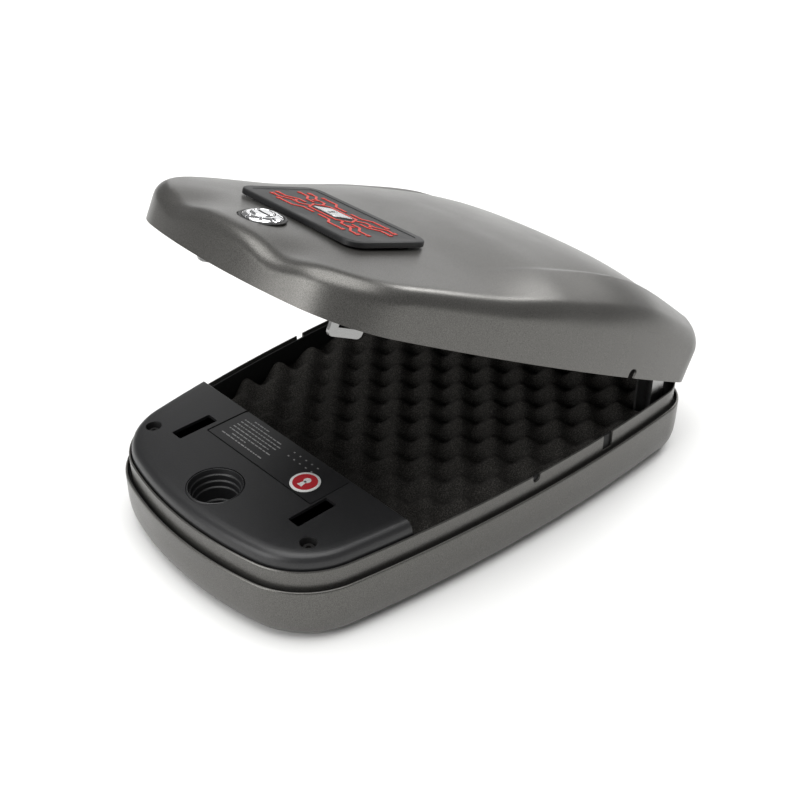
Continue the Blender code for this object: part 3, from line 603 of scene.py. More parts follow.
def bumpFrom(tree, shader, height, distance, strength=1.0):
    bump = tree.nodes.new("ShaderNodeBump")
    bump.inputs["Distance"].default_value = distance
    bump.inputs["Strength"].default_value = strength
    tree.links.new(height, bump.inputs["Height"])
    tree.links.new(bump.outputs["Normal"], shader.inputs["Normal"])


def grainedLook(name, values):
    look, tree, shader = newLook(name, values["rough"][0], values.get("metallic", 0.0))
    shader.inputs["Specular IOR Level"].default_value = values.get("specular", 0.5)
    noise = useGroup(tree, grain, Scale=values["grain"], Cloud_Scale=values["cloud"])
    tinted = blendColour(tree, noise.outputs["Fleck"], values["dark"], values["light"])
    clouded = blendColour(tree, noise.outputs["Cloud"], tinted, values.get("haze", values["light"]))
    mixed = tree.nodes.new("ShaderNodeMix")
    mixed.data_type = "RGBA"
    mixed.inputs["Factor"].default_value = values.get("hazeAmount", 0.15)
    tree.links.new(tinted, mixed.inputs["A"])
    tree.links.new(clouded, mixed.inputs["B"])
    tree.links.new(mixed.outputs["Result"], shader.inputs["Base Color"])
    tree.links.new(rangeOf(tree, noise.outputs["Cloud"], *values["rough"]), shader.inputs["Roughness"])
    bumpFrom(tree, shader, noise.outputs["Height"], values["bump"])
    return look


def drawnLook(name, values):
    look, tree, shader = newLook(name, values["rough"][0], 1.0)
    lines = useGroup(tree, drawn, Scale=values["lines"])
    colour = blendColour(tree, lines.outputs["Lines"], values["dark"], values["light"])
    tree.links.new(colour, shader.inputs["Base Color"])
    tree.links.new(rangeOf(tree, lines.outputs["Lines"], *values["rough"]), shader.inputs["Roughness"])
    bumpFrom(tree, shader, lines.outputs["Height"], values["bump"])
    return look


def foamLook(name, values):
    look, tree, shader = newLook(name, 0.96)
    shader.inputs["Specular IOR Level"].default_value = 0.12
    cells = useGroup(tree, cellsOfFoam, Scale=values["cells"])
    noise = useGroup(tree, grain, Scale=values["grain"], Cloud_Scale=values["cloud"])
    body = blendColour(tree, noise.outputs["Fleck"], values["dark"], values["light"])
    # painted shade: the pits of the open cells take the darkest foam colour
    colour = blendColour(tree, cells.outputs["PoreShadeMask"], values["poreShade"], body)
    tree.links.new(colour, shader.inputs["Base Color"])
    bumpFrom(tree, shader, cells.outputs["Height"], values["bump"])
    return look


def boardLook(name, values):
    # Solder mask over a grid of tracks
    look, tree, shader = newLook(name, 0.35)
    place = tree.nodes.new("ShaderNodeTexCoord").outputs["Object"]
    tracks = tree.nodes.new("ShaderNodeTexBrick")
    tracks.inputs["Scale"].default_value = values["tracks"]
    tracks.inputs["Mortar Size"].default_value = 0.06
    tracks.inputs["Color1"].default_value = (*values["dark"], 1)
    tracks.inputs["Color2"].default_value = (*values["dark"], 1)
    tracks.inputs["Mortar"].default_value = (*values["light"], 1)
    tree.links.new(place, tracks.inputs["Vector"])
    tree.links.new(tracks.outputs["Color"], shader.inputs["Base Color"])
    bumpFrom(tree, shader, tracks.outputs["Fac"], 0.00005)
    return look


paintValues = {
    "dark": (0.080, 0.078, 0.073), "light": (0.148, 0.144, 0.136), "haze": (0.115, 0.112, 0.107),
    "rough": (0.30, 0.36), "metallic": 0.72, "grain": 2400.0, "cloud": 30.0, "bump": 0.00004,
}
coverValues = {
    "dark": (0.0095, 0.0095, 0.0102), "light": (0.0150, 0.0150, 0.0160), "rough": (0.36, 0.44),
    "grain": 1500.0, "cloud": 24.0, "bump": 0.00003, "specular": 0.5,
}
linerValues = {
    "dark": (0.006, 0.006, 0.006), "light": (0.011, 0.011, 0.011), "rough": (0.55, 0.65),
    "grain": 1500.0, "cloud": 24.0, "bump": 0.00003, "specular": 0.35,
}
rubberValues = {
    "dark": (0.0055, 0.0055, 0.006), "light": (0.0105, 0.0105, 0.011), "rough": (0.44, 0.54),
    "grain": 1100.0, "cloud": 60.0, "bump": 0.00004, "specular": 0.4,
}
darkSteelValues = {
    "dark": (0.016, 0.016, 0.016), "light": (0.032, 0.031, 0.030), "rough": (0.38, 0.50),
    "grain": 1600.0, "cloud": 90.0, "bump": 0.00005, "metallic": 0.5,
}
zincValues = {
    "dark": (0.24, 0.24, 0.238), "light": (0.40, 0.40, 0.395), "rough": (0.28, 0.40), "lines": 2600.0,
    "bump": 0.00002,
}
chromeValues = {
    "dark": (0.72, 0.72, 0.73), "light": (0.86, 0.86, 0.87), "rough": (0.08, 0.12), "lines": 1500.0,
    "bump": 0.0000002,
}
brassValues = {
    "dark": (0.55, 0.40, 0.16), "light": (0.74, 0.57, 0.27), "rough": (0.25, 0.38), "lines": 2400.0,
    "bump": 0.00001,
}
redValues = {
    "dark": (0.42, 0.014, 0.006), "light": (0.58, 0.026, 0.011), "rough": (0.40, 0.48),
    "grain": 1500.0, "cloud": 120.0, "bump": 0.00002, "specular": 0.3,
}
sealValues = redValues | {"dark": (0.30, 0.010, 0.016), "light": (0.42, 0.017, 0.026)}
silverValues = {
    "dark": (0.50, 0.51, 0.52), "light": (0.66, 0.67, 0.68), "rough": (0.24, 0.32), "lines": 900.0,
    "bump": 0.000002,
}
whiteValues = {
    "dark": (0.55, 0.55, 0.54), "light": (0.68, 0.68, 0.67), "rough": (0.42, 0.52),
    "grain": 1800.0, "cloud": 160.0, "bump": 0.00001,
}
printValues = {
    "dark": (0.22, 0.22, 0.22), "light": (0.30, 0.30, 0.30), "rough": (0.45, 0.55),
    "grain": 2200.0, "cloud": 160.0, "bump": 0.00001,
}
filmValues = {
    "dark": (0.008, 0.008, 0.009), "light": (0.012, 0.012, 0.013), "rough": (0.30, 0.36),
    "grain": 900.0, "cloud": 40.0, "bump": 0.00001,
}
wrapValues = {
    "dark": (0.42, 0.28, 0.06), "light": (0.56, 0.40, 0.11), "rough": (0.22, 0.30),
    "grain": 800.0, "cloud": 60.0, "bump": 0.00001, "metallic": 0.3,
}
# Foam colours; the darkest one is painted shade in the pits of the open cells
foamValues = {
    "dark": (0.030, 0.0285, 0.0262), "light": (0.064, 0.061, 0.056), "poreShade": (0.011, 0.0102, 0.0095),
    "cells": 1500.0, "grain": 1300.0, "cloud": 50.0, "bump": 0.00030,
}
boardValues = {"dark": (0.006, 0.022, 0.012), "light": (0.014, 0.045, 0.024), "tracks": 260.0}

paint = grainedLook("gunmetalPaint", paintValues)
coverPlastic = grainedLook("coverPlastic", coverValues)
linerPlastic = grainedLook("linerPlastic", linerValues)
rubber = grainedLook("mattRubber", rubberValues)
darkSteel = grainedLook("blackSteel", darkSteelValues)
zinc = drawnLook("zincPlate", zincValues)
chrome = drawnLook("polishedChrome", chromeValues)
brass = drawnLook("machinedBrass", brassValues)
redInk = grainedLook("redInk", redValues)
sealInk = grainedLook("sealInk", sealValues)
silverInk = drawnLook("silverInk", silverValues)
whiteInk = grainedLook("whiteInk", whiteValues)
printInk = grainedLook("printInk", printValues)
labelFilm = grainedLook("labelFilm", filmValues)
cellWrap = grainedLook("cellWrap", wrapValues)
foam = foamLook("openCellFoam", foamValues)
board = boardLook("solderMask", boardValues)
print("finishes ready")

# Lid shell
lidFine = {"wallSteps": 6, "edgeSteps": 9, "crownSteps": 84, "insideSteps": 26, "crownEnd": 0.012}


def lidFace(extra, wall, edgeSteps, crownSteps):
    radius = lidShape["edgeRadius"] - extra
    base = lidShape["inset"] + extra
    outer = ring(base)
    top = lidHeight(outer[:, 0], outer[:, 1]) - wall - radius
    rings = []
    for t in np.linspace(0, 1, lidFine["wallSteps"]):
        rings.append(np.c_[outer, lidShape["rim"] + t * (top - lidShape["rim"])])
    for lean in np.linspace(0, math.pi / 2, edgeSteps + 1)[1:-1]:
        plan = ring(base + radius * (1 - math.cos(lean)))
        rings.append(np.c_[plan, lidHeight(plan[:, 0], plan[:, 1]) - wall - radius * (1 - math.sin(lean))])
    shoulder = ring(lidShape["inset"] + lidShape["edgeRadius"])
    for t in np.linspace(0, 1, crownSteps):
        plan = shoulder * (1 - t * (1 - lidFine["crownEnd"]))
        rings.append(np.c_[plan, lidHeight(plan[:, 0], plan[:, 1]) - wall])
    return rings


def buildLidShell():
    outside = lidFace(0.0, 0.0, lidFine["edgeSteps"], lidFine["crownSteps"])
    inside = lidFace(lidShape["wall"], lidShape["wall"], 4, lidFine["insideSteps"])
    outside[0][:, 2] += 0.0003  # a slightly eased rim
    shell = loft("lidSkin", outside[::-1] + inside, matrix=lidTurn)
    gap = padPlan["seatGap"]
    seat = roundedBox(padPlan["width"] + gap, padPlan["depth"] + gap, padPlan["seatCorner"])
    cutters = [prism("cutPad", seat, -0.0001, 0.02, matrix=padFrame)]
    barrel, bezel = lockPlan["barrel"] + 0.0003, lockPlan["bezel"] + 0.0004
    stepped = [(barrel, -0.02), (barrel, -0.0007), (bezel, -0.0007), (bezel, 0.01)]
    cutters.append(turned("cutLock", stepped, matrix=lockFrame))
    notch = roundedBox(0.0075, 0.0130, 0.0030, (0.0740, lidShape["rim"] - 0.0005))
    cutters += [throughWall("cutNotch", notch, side, lidTurn) for side in (-1, 1)]
    cutWith(shell, cutters)
    finish(shell, paint, "lid", ("lid_shell",), 24)


buildLidShell()
print("lid shell ready")

# Base shell, collar and seal
basePlan = {"bottom": 0.0015, "rim": 0.0362, "wall": 0.0015, "collarTop": 0.0476, "collarInset": 0.0035}
inletPlan = {"radius": 0.0050, "z": 0.0190, "rear": 0.170}
boltPlaces = [(x, y) for x in (-0.070, 0.070) for y in (-0.045, 0.095)]


def inletCutter(front):
    outline = circle(inletPlan["radius"], (0, inletPlan["z"]))
    return prism("cutInlet", outline, front, inletPlan["rear"], "Y")


def buildBaseShell():
    bottom, rim, wall = basePlan["bottom"], basePlan["rim"], basePlan["wall"]
    outside = [(0.0130, bottom), (0.0070, bottom + 0.0004), (0.0036, 0.0046), (0.0016, 0.0080)]
    outside += [(0.0004, 0.0130), (0.0, 0.0190), (0.0, 0.0285)]
    lip = [(0.0, rim - 0.0010), (0.0006, rim), (wall, rim), (wall, rim - 0.0016)]
    inside = [(wall, 0.0150), (0.0026, 0.0090), (0.0060, 0.0050), (0.0120, bottom + wall)]
    profile = roundedProfile(outside + lip + inside, 0.0030, 4)
    shell = loft("baseSkin", [at(ring(inset), z) for inset, z in profile])
    hatch = np.array([(-0.032, -0.1490), (0.032, -0.1490), (0.032, -0.0840), (-0.032, -0.0840)])
    cutters = [prism("cutHatch", hatch, -0.001, 0.008), inletCutter(0.155)]
    cutters += [prism("cutBolt", circle(0.0033, spot, 32), -0.001, 0.006) for spot in boltPlaces]
    cutWith(shell, cutters)
    finish(shell, paint, "base", ("base_shell",), 30)


def buildCollar():
    top, inset = basePlan["collarTop"], basePlan["collarInset"]
    inner = inset + 0.0012
    section = [(inset, 0.0110), (inset, top - 0.0005), (inset + 0.0004, top), (inner - 0.0003, top)]
    section += [(inner, top - 0.0006), (inner, 0.0112), (0.0074, 0.0068), (0.0150, 0.0052)]
    section += [(0.0150, 0.0042), (0.0068, 0.0058)]
    collar = loft("collarSkin", [at(ring(i), z) for i, z in section], True)
    cutters = [inletCutter(0.150)]
    roundNotch = roundedBox(0.0056, 0.0140, 0.0027, (0.0100, top + 0.002))
    squareNotch = roundedBox(0.0085, 0.0250, 0.0006, (0.07225, 0.0487), 4)
    for side in (-1, 1):
        cutters.append(throughWall("cutRound", roundNotch, side))
        cutters.append(throughWall("cutSquare", squareNotch, side))
    cutWith(collar, cutters)
    finish(collar, paint, "base", ("inner_collar",), 30)
    section = ((0.0018, 0.0300), (0.0032, 0.0300), (0.0032, 0.0330), (0.0025, 0.0334), (0.0018, 0.0330))
    seal = loft("sealRing", [at(ring(i), z) for i, z in section], True)
    finish(seal, rubber, "base", ("seam_gasket",))


buildBaseShell()
buildCollar()
print("base shell ready")

# Liner and foam
bayRear = -0.0775
foamPlan = {"top": 0.0385, "pitch": 0.0285, "depth": 0.0115, "rings": 74, "webReach": 0.985}
foamPlan |= {"lidBottom": 0.0500, "lidTop": 0.0582, "lidDepth": 0.6}  # the lid's depth is a share
postRoom = {"x": 0.0898, "y": 0.1218}
eggCrate = eggCrateTree()


def buildLiner():
    front = bayRear + 0.0013
    profile = [(0.0200, 0.0056, front + 0.006), (0.0090, 0.0076, front + 0.001), (0.0052, 0.0130, front)]
    profile += [(0.0050, 0.0448, front), (0.0053, 0.0455, front + 0.0003), (0.0062, 0.0455, front + 0.0011)]
    profile += [(0.0065, 0.0448, front + 0.0014), (0.0066, 0.0140, front + 0.0014)]
    profile += [(0.0102, 0.0090, front + 0.0026), (0.0206, 0.0070, front + 0.0075)]
    liner = loft("baseTray", [at(rearRing(i, y), z) for i, z, y in profile])
    cutters = [inletCutter(0.150)]
    cutters += [prism("cutBolt", circle(0.0040, spot, 32), 0.002, 0.010) for spot in boltPlaces]
    for side in (-1, 1):
        foot = roundedBox(0.013, 0.013, 0.0005, (side * 0.097, 0.129), 2)
        cutters.append(prism("cutPost", foot, 0.002, 0.07))
    cutWith(liner, cutters)
    finish(liner, linerPlastic, "base", ("base_liner",))


def notched(points, roomX, roomY):
    # The outline goes round the posts in the rear corners
    points = points.copy()
    inRoom = (np.abs(points[:, 0]) > roomX) & (points[:, 1] > roomY)
    for side in (-1, 1):
        spots = np.where(inRoom & (points[:, 0] * side > 0))[0]
        spots = spots[np.argsort(points[spots, 1] - np.abs(points[spots, 0]))]
        half = len(spots) // 2
        outerX, outerY = np.abs(points[spots[0], 0]), points[spots[-1], 1]
        for k, spot in enumerate(spots[:half]):
            points[spot] = (side * (outerX + (roomX - outerX) * k / (half - 1)), roomY)
        rest = spots[half:]
        for k, spot in enumerate(rest):
            points[spot] = (side * roomX, roomY + (outerY - roomY) * (k + 1) / len(rest))
    return points


def foamSlab(name, outline, underside, top, centreY, flip=False):
    # A slab whose patterned face is a fine web of rings around its middle
    rings = [np.c_[outline, np.full(len(outline), underside)]]
    marks = [np.zeros(len(outline))]
    for z in (underside + (top - underside) * 0.5, top):
        rings.append(np.c_[outline, np.full(len(outline), z)])
        marks.append(np.full(len(outline), float(z == top)))
    middle = np.array((0.0, centreY))
    for t in np.linspace(0, 1, foamPlan["rings"])[1:]:
        plan = middle + (outline - middle) * (1 - foamPlan["webReach"] * t)
        rings.append(np.c_[plan, np.full(len(outline), top)])
        marks.append(np.ones(len(outline)))
    slab = loft(name, rings)
    markPoints(slab, "swell", np.concatenate(marks) * (-1 if flip else 1))
    depth = foamPlan["depth"] * (foamPlan["lidDepth"] if flip else 1)
    runTree(slab, eggCrate, {"Pitch": foamPlan["pitch"], "Depth": depth, "Material": foam})
    return slab


def buildFoams():
    outline = notched(rearRing(0.0070, bayRear + 0.0033), postRoom["x"], postRoom["y"])
    slab = foamSlab("baseFoamBed", outline, 0.0125, foamPlan["top"], 0.040)
    finish(slab, foam, "base", ("base_foam",), 60)
    outline = notched(rearRing(0.0122, -0.0540), postRoom["x"] - 0.0033, postRoom["y"] - 0.0033)
    slab = foamSlab("lidFoamBed", outline, foamPlan["lidTop"], foamPlan["lidBottom"], 0.050, True)
    slab.data.transform(lidTurn)
    finish(slab, foam, "lid", ("lid_foam",), 60)


def buildLidLiner():
    profile = ((0.0084, 0.0585), (0.0080, 0.0588), (0.0080, 0.0598), (0.0083, 0.0600))
    sheet = loft("lidTray", [at(rearRing(i, -0.0560), z) for i, z in profile], matrix=lidTurn)
    cutters = []
    for side in (-1, 1):
        room = roundedBox(0.0300, 0.0360, 0.0015, (side * (0.088 + 0.0150), 0.120 + 0.0180), 3)
        cutters.append(prism("cutPost", room, 0.04, 0.08, matrix=lidTurn))
    cutWith(sheet, cutters)
    finish(sheet, linerPlastic, "lid", ("lid_liner",))


buildLiner()
buildFoams()
buildLidLiner()
print("liner and foam ready")

# Moulded cover over the lock bay
coverPlan = {"top": 0.0568, "screwX": 0.0721, "screwY": -0.1293, "wellY": -0.1365, "wellRadius": 0.0165}
coverPlan |= {"slotX": 0.0545, "slotY": -0.1120, "slotWidth": 0.0088, "slotDepth": 0.0268}
coverPlan |= {"labelDrop": 0.0012, "screwRadius": 0.0049, "cutFloor": 0.0300}


def buildCover():
    top, rear = coverPlan["top"], bayRear - 0.0003
    outer = [(0.0400, top), (0.0200, top - 0.0002), (0.0120, top - 0.0007), (0.0086, top - 0.0016)]
    outer += [(0.0064, top - 0.0036), (0.0054, top - 0.0066), (0.0052, 0.0435), (0.0052, 0.0395)]
    inner = [(0.0072, 0.0395), (0.0072, top - 0.0118), (0.0105, top - 0.0060), (0.0215, top - 0.0025)]
    inner += [(0.0360, top - 0.0020)]
    outer = steppedProfile(roundedProfile(outer, 0.0040, 4), 0.0018)
    profile = outer + roundedProfile(inner, 0.0010, 3)
    rings = []
    for k, (inset, z) in enumerate(profile):
        below = max(0.0, top - z)
        inside = k >= len(outer)
        easing = 0.0020 if inside else 0.0016 * math.exp(-((below / 0.0012) ** 2))
        rings.append(at(frontRing(inset, rear - easing), z))
    cover = loft("coverShell", rings)
    label = roundedBox(0.0960, 0.0420, 0.0012, (0.0010, bayRear - 0.0105), 4)

    def opening(name, outline, low=coverPlan["cutFloor"]):
        return prism(name, outline, low, top + 0.01)

    cutters = [opening("cutLabel", label, top - coverPlan["labelDrop"])]
    cutters.append(opening("cutLock", circle(coverPlan["wellRadius"], (0, coverPlan["wellY"]), 72)))
    for side in (-1, 1):
        spot = (side * coverPlan["screwX"], coverPlan["screwY"])
        cutters.append(opening("cutScrew", circle(coverPlan["screwRadius"], spot)))
        middle = (side * coverPlan["slotX"], coverPlan["slotY"])
        slot = roundedBox(coverPlan["slotWidth"], coverPlan["slotDepth"], 0.0010, middle, 4)
        cutters.append(opening("cutSlot", slot))
    cutWith(cover, cutters)
    bevelled(cover, 0.00025, 2, 50)
    finish(cover, coverPlastic, "base", ("front_cover",), 30, True)
    for side in (-1, 1):
        spot = (side * coverPlan["screwX"], coverPlan["screwY"])
        tube = [(0.0043, 0.0470), (0.0049, 0.0470), (0.0049, top - 0.0006), (0.0047, top - 0.0004)]
        tube += [(0.0045, top - 0.0006), (0.0044, 0.0502), (0.0020, 0.0500)]
        sleeve = turned("screwWell" + "LR"[side > 0], roundedProfile(tube, 0.0002, 3), spot, 48)
        finish(sleeve, linerPlastic, "base")


def buildLockWell():
    top, radius = coverPlan["top"], coverPlan["wellRadius"]
    steps = [(radius - 0.0020, 0.0345), (radius - 0.0003, 0.0345), (radius - 0.0003, top - 0.0004)]
    steps += [(radius - 0.0012, top), (radius - 0.0017, top - 0.0034)]
    steps += [(radius - 0.0026, top - 0.0036), (radius - 0.0026, top - 0.0070)]
    steps += [(radius - 0.0036, top - 0.0072), (radius - 0.0036, top - 0.0106)]
    steps += [(radius - 0.0046, top - 0.0108), (radius - 0.0046, 0.0380)]
    steps += [(radius - 0.0058, 0.0378), (radius - 0.0058, 0.0360)]
    well = turned("lockWell", roundedProfile(steps, 0.0004, 4), (0, coverPlan["wellY"]), 96)
    finish(well, coverPlastic, "base", ("lock_receiver",))


labelPlan = {"left": -0.0400, "firstRow": -0.0830, "rowGap": 0.0028, "rows": 8, "headings": (0, 6)}
labelPlan |= {"indent": 0.006, "sink": 0.0003, "raise": 0.00008, "mark": 0.00075, "markGap": 0.0007}
labelPlan["seed"] = 7
marks = marksTree()


def buildPrint():
    # Plain bars stand for lines of small print, with a block of dots beside them
    drawRandom = random.Random(labelPlan["seed"])
    top = coverPlan["top"] - labelPlan["sink"] + labelPlan["raise"]
    points, lengths = [], []
    for row in range(labelPlan["rows"]):
        heading = row in labelPlan["headings"]
        y = labelPlan["firstRow"] - labelPlan["rowGap"] * row
        x = labelPlan["left"] + (labelPlan["indent"] if heading else 0.0)
        reach = 0.012 if heading else drawRandom.uniform(0.030, 0.040)
        stop = x + reach
        while x < stop:
            length = drawRandom.uniform(0.0012, 0.0040)
            points.append((x + length / 2, y, top))
            lengths.append(length)
            x += length + labelPlan["markGap"]
    for row in range(2):
        for column in range(5):
            points.append((0.0060 + 0.0052 * column, -0.0850 - 0.0046 * row, top))
            lengths.append(0.0011)
    sheet = meshPiece("labelPrint", points, [])
    markPoints(sheet, "markLength", lengths)
    runTree(sheet, marks, {"Height": labelPlan["mark"], "Raise": labelPlan["raise"], "Material": printInk})
    finish(sheet, printInk, "base")


def buildRoundSeal():
    centre, radius = (0.0320, -0.0985), 0.0088
    top = coverPlan["top"]
    edge = [(radius, top + 0.00002), (radius, top + 0.00030), (radius - 0.0002, top + 0.0004)]
    finish(turned("sealDisc", edge, centre), whiteInk, "base", ("round_seal",))
    inner = turned("sealField", [(0.0072, top + 0.00036), (0.0072, top + 0.00045)], centre)
    finish(inner, sealInk, "base")
    bow = [(0.0022, top + 0.00044), (0.0022, top + 0.00050)]
    bowAt = (centre[0], centre[1] + 0.0016)
    finish(turned("sealKeyHead", bow, bowAt, 32), whiteInk, "base")
    stem = [(-0.0008, 0.0006), (-0.0018, -0.0044), (0.0018, -0.0044), (0.0008, 0.0006)]
    outline = np.array(stem)[::-1] + centre
    finish(prism("sealKeyStem", outline, top + 0.00044, top + 0.00050), whiteInk, "base")


buildCover()
buildLockWell()
buildPrint()
buildRoundSeal()
print("cover ready")

# Reader pad with raised tracks and a keyhole badge
ribbons = ribbonTree()
trackPlan = {"width": 0.0015, "height": 0.0003}
trackPlan["lands"] = ((0.0345, 0.0135, 0.0028), (0.0370, 0.0080, 0.0024), (0.0260, 0.0163, 0.0024))
trackPlan["loop"] = [(0.0158, 0.0), (0.0110, 0.0074), (-0.0110, 0.0074), (-0.0158, 0.0)]
trackPlan["loop"] += [(-0.0110, -0.0074), (0.0110, -0.0074)]


def buildPad():
    top, corner, border = padPlan["thickness"], padPlan["corner"], padPlan["frame"]
    width, depth = padPlan["width"], padPlan["depth"]
    panel = top - padPlan["panelDrop"]
    side = [(0.0, 0.0002), (0.0, top - 0.0012)]
    for turn in np.linspace(0.2, 1.57, 7):
        side.append((0.0014 * (1 - math.cos(turn)), top - 0.0012 + 0.0010 * math.sin(turn)))
    side += [(0.0042, top - 0.0002), (0.0050, top - 0.00025), (0.0054, panel), (border, panel)]
    rings = []
    for inset, z in side:
        plan = roundedBox(width - 2 * inset, depth - 2 * inset, corner - inset, steps=12)
        rings.append(at(plan, z))
    for scale in np.linspace(0.97, 0.05, 12):
        plan = roundedBox(width - 2 * border, depth - 2 * border, corner - border, steps=12)
        rings.append(at(plan * scale, panel))
    pad = loft("readerPad", rings, matrix=padFrame)
    finish(pad, rubber, "lid", ("reader_pad",), 35)


def trackLines():
    # One corner's tracks; the others are its mirror images
    near = [(0.0128, 0.0036), (0.0170, 0.0090), (0.0245, 0.0090), (0.0290, 0.0135), (0.0345, 0.0135)]
    outer = [(0.0020, 0.0118), (0.0105, 0.0118), (0.0150, 0.0163), (0.0260, 0.0163)]
    low = [(0.0190, 0.0030), (0.0250, 0.0030), (0.0300, 0.0080), (0.0370, 0.0080)]
    stub = [(0.0205, 0.0090), (0.0240, 0.0055)]
    return [near, outer, low, stub]


def buildTracks():
    level = padPlan["thickness"] - padPlan["panelDrop"] + trackPlan["height"] / 2
    points, edges = [], []
    for signX in (-1, 1):
        for signY in (-1, 1):
            for line in trackLines():
                first = len(points)
                points += [(signX * x, signY * y, level) for x, y in line]
                edges += [(first + k, first + k + 1) for k in range(len(line) - 1)]
    first = len(points)  # a six-sided loop around the badge
    points += [(x, y, level) for x, y in trackPlan["loop"]]
    sides = len(trackPlan["loop"])
    edges += [(first + k, first + (k + 1) % sides) for k in range(sides)]
    tracks = meshPiece("padTracks", points, [], edges=edges)
    values = {"Width": trackPlan["width"], "Height": trackPlan["height"]}
    runTree(tracks, ribbons, values | {"Material": redInk})
    work = bmesh.new()
    work.from_mesh(tracks.data)
    for signX in (-1, 1):  # square lands at the ends of the tracks
        for signY in (-1, 1):
            for x, y, size in trackPlan["lands"]:
                spot = Matrix.Translation((signX * x, signY * y, level))
                scale = Matrix.Diagonal((size, size, trackPlan["height"], 1))
                bmesh.ops.create_cube(work, size=1, matrix=spot @ scale)
    work.to_mesh(tracks.data)
    work.free()
    tracks.data.transform(padFrame)
    finish(tracks, redInk, "lid", ("pad_traces",))


def buildBadge():
    low = padPlan["thickness"] - padPlan["panelDrop"]
    outer = roundedBox(0.0180, 0.0096, 0.0012)
    outer[:, 0] += 0.55 * outer[:, 1]  # slanted ends
    rings = [at(outer, low), at(outer, low + 0.0005), at(outer * 0.96, low + 0.0007)]
    badge = loft("padBadge", rings, matrix=padFrame)
    bow = circle(0.0018, (0, 0.0012), 32)
    stem = np.array([(-0.0007, 0.0002), (0.0007, 0.0002), (0.0014, -0.0032), (-0.0014, -0.0032)])
    keyhole = (("cutBow", bow), ("cutStem", stem))
    cutWith(badge, [prism(name, outline, low + 0.0003, 0.01, matrix=padFrame) for name, outline in keyhole])
    finish(badge, silverInk, "lid", ("pad_emblem",))


buildPad()
buildTracks()
buildBadge()
print("reader pad ready")

# Key lock: dark seat, chrome crown with notches, round plug
crownPlan = {"radius": 0.0107, "rise": 0.0026, "notches": 8, "notchWidth": 0.0016}


def buildLockFace():
    bezel = lockPlan["bezel"]
    seat = [(lockPlan["plug"] + 0.0004, -0.0003), (bezel, -0.0003), (bezel, 0.0007), (bezel - 0.0006, 0.0010)]
    seat += [(bezel - 0.0015, 0.0009), (bezel - 0.0019, 0.0003), (lockPlan["plug"] + 0.0004, 0.0003)]
    rings = [at(circle(r, sides=96), z) for r, z in roundedProfile(seat, 0.0003, 4)]
    finish(loft("lockSeat", rings, True, lockFrame), darkSteel, "lid")
    inner, outer = lockPlan["plug"] + 0.0003, crownPlan["radius"]
    top = crownPlan["rise"]
    section = [(inner, 0.0004), (outer, 0.0004), (outer, 0.0010), (outer - 0.0006, 0.0016)]
    section += [(outer - 0.0026, top - 0.0002), (inner + 0.0010, top)]
    section += [(inner + 0.0002, top), (inner, top - 0.0003)]
    crown = loft("lockCrown", [at(circle(r, sides=96), z) for r, z in section], True, lockFrame)
    cutters = []
    for k in range(crownPlan["notches"]):
        turn = Matrix.Rotation(2 * math.pi * k / crownPlan["notches"], 4, "Z")
        block = roundedBox(0.0052, crownPlan["notchWidth"], 0.0003, (outer - 0.0008, 0), 2)
        cutters.append(prism("cutNotch", block, 0.0009, 0.01, matrix=lockFrame @ turn))
    cutWith(crown, cutters)
    bevelled(crown, 0.00012, 2, 30)
    finish(crown, chrome, "lid", ("lock_bezel",), 28)


def buildPlug():
    radius = lockPlan["plug"] - 0.0001
    profile = [(radius, -0.0200), (radius, 0.0024), (radius - 0.0004, 0.0030)]
    profile += [(0.0050, 0.0034), (0.0047, 0.0030), (0.0012, 0.0028)]
    plug = turned("lockPlugFace", roundedProfile(profile, 0.0004, 4), matrix=lockFrame)
    key = roundedBox(0.0078, 0.0015, 0.0004, steps=3)
    cutWith(plug, [prism("cutKey", key, -0.0100, 0.01, matrix=lockFrame)])
    finish(plug, chrome, "lock_plug", ("lock_plug",), 30)


buildLockFace()
buildPlug()
print("lock ready")

# Hinge springs
coil = coilTree()
hingePlan = {"x": 0.055, "start": 0.0032, "wire": 0.0006, "radius": 0.0027, "turns": 5.0, "length": 0.0053}


def buildSprings():
    for side, tag in ((-1, "left"), (1, "right")):
        spring = meshPiece("springWire" + tag.title(), [(0, 0, 0)], [])
        values = {"Turns": hingePlan["turns"], "Radius": hingePlan["radius"], "Length": hingePlan["length"]}
        runTree(spring, coil, values | {"Wire": hingePlan["wire"], "Material": zinc})
        start = side * hingePlan["x"] + hingePlan["start"] + hingePlan["wire"]
        spring.data.transform(
            Matrix.Translation((start, hingePoint.y, hingePoint.z)) @ Matrix.Rotation(math.pi / 2, 4, "Y")
        )
        finish(spring, zinc, "base", ("hinge_spring_" + tag,))


buildSprings()
print("springs ready")

# Finishes of the pieces that keep their own shape
ownShapes = (
    (zinc, ("latch_bar", "latch_motor", "latch_hook_", "lock_barrel", "lock_nut", "lock_cam")),
    (zinc, ("stop_post_", "hinge_pin_")),
    (darkSteel, ("hatch_screw", "cover_screw_", "hinge_base_", "hinge_lid_")),
    (linerPlastic, ("latch_guide", "battery_holder", "battery_hatch", "power_inlet")),
    (rubber, ("foot_", "stop_bumper_")),
    (board, ("circuit_board", "reader_board")),
    (cellWrap, ("battery_cell_",)),
    (brass, ("motor_pinion",)),
    (labelFilm, ("label_plate",)),
)
for node, piece in frame["nodes"].items():
    for look, starts in ownShapes:
        if node.startswith(starts):
            for slot in piece.material_slots:
                slot.material = look

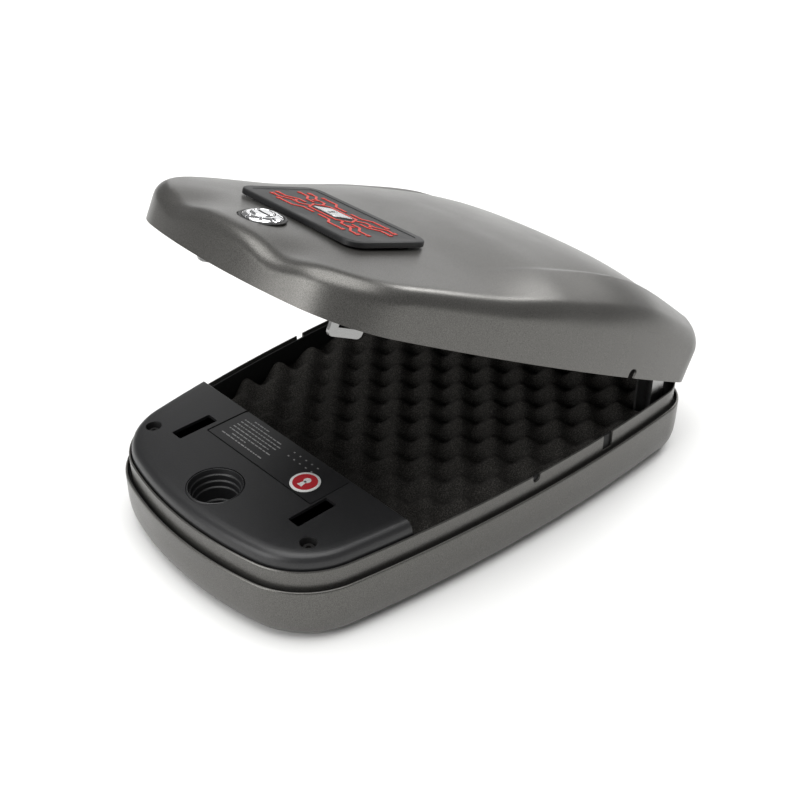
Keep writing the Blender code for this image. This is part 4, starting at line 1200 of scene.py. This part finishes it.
# Floor, light and camera
studio = {"floor": (0.88, 0.88, 0.87), "floorReach": 9.0, "world": 0.24}
lamps = {  # place, target, size, power
    "topLight": ((0.1, -0.1, 2.6), (0, 0, 0), 2.8, 92.0),
    "backLight": ((-1.6, 1.8, 0.55), (0, 0.05, 0.15), 2.0, 10.5),
    "stripLight": ((-0.2, 2.0, 1.25), (0, 0.05, 0.15), 0.6, 13.0),
    "frontLight": ((-0.2, -1.9, 0.85), (0, 0.0, 0.05), 1.2, 20.0),
}
cameraPlan = {"lens": 54.0, "sensor": 36.0}
cameraPlan |= {"place": (0.45295, -0.42028, 0.46652), "target": (-0.0155, 0.0180, 0.0351)}


def buildStage():
    floorMesh = bpy.data.meshes.new("floor")
    reach = studio["floorReach"]
    corners = [(-reach, -reach, 0), (reach, -reach, 0), (reach, reach, 0), (-reach, reach, 0)]
    floorMesh.from_pydata(corners, [], [(0, 1, 2, 3)])
    floor = newObject("floor", floorMesh)
    look, _, shader = newLook("paleFloor", 0.85)
    shader.inputs["Base Color"].default_value = (*studio["floor"], 1)
    floorMesh.materials.append(look)
    world = bpy.data.worlds.new("studio")
    world.use_nodes = True
    sky = world.node_tree.nodes["Background"]
    sky.inputs["Color"].default_value = (1.0, 1.0, 1.0, 1)
    sky.inputs["Strength"].default_value = studio["world"]
    bpy.context.scene.world = world
    bpy.context.scene.view_settings.view_transform = "Standard"


def aimed(thing, place, target):
    thing.location = place
    thing.rotation_euler = (Vector(target) - Vector(place)).to_track_quat("-Z", "Y").to_euler()


def areaLight(name, place, target, size, power):
    light = bpy.data.lights.new(name, "AREA")
    light.energy = power
    light.size = size
    aimed(newObject(name, light), place, target)


def buildCamera():
    data = bpy.data.cameras.new("camera")
    data.lens = cameraPlan["lens"]
    data.sensor_width = cameraPlan["sensor"]
    camera = newObject("camera", data)
    aimed(camera, cameraPlan["place"], cameraPlan["target"])
    bpy.context.scene.camera = camera


buildStage()
for lampName, lampValues in lamps.items():
    areaLight(lampName, *lampValues)
buildCamera()
print("stage ready")
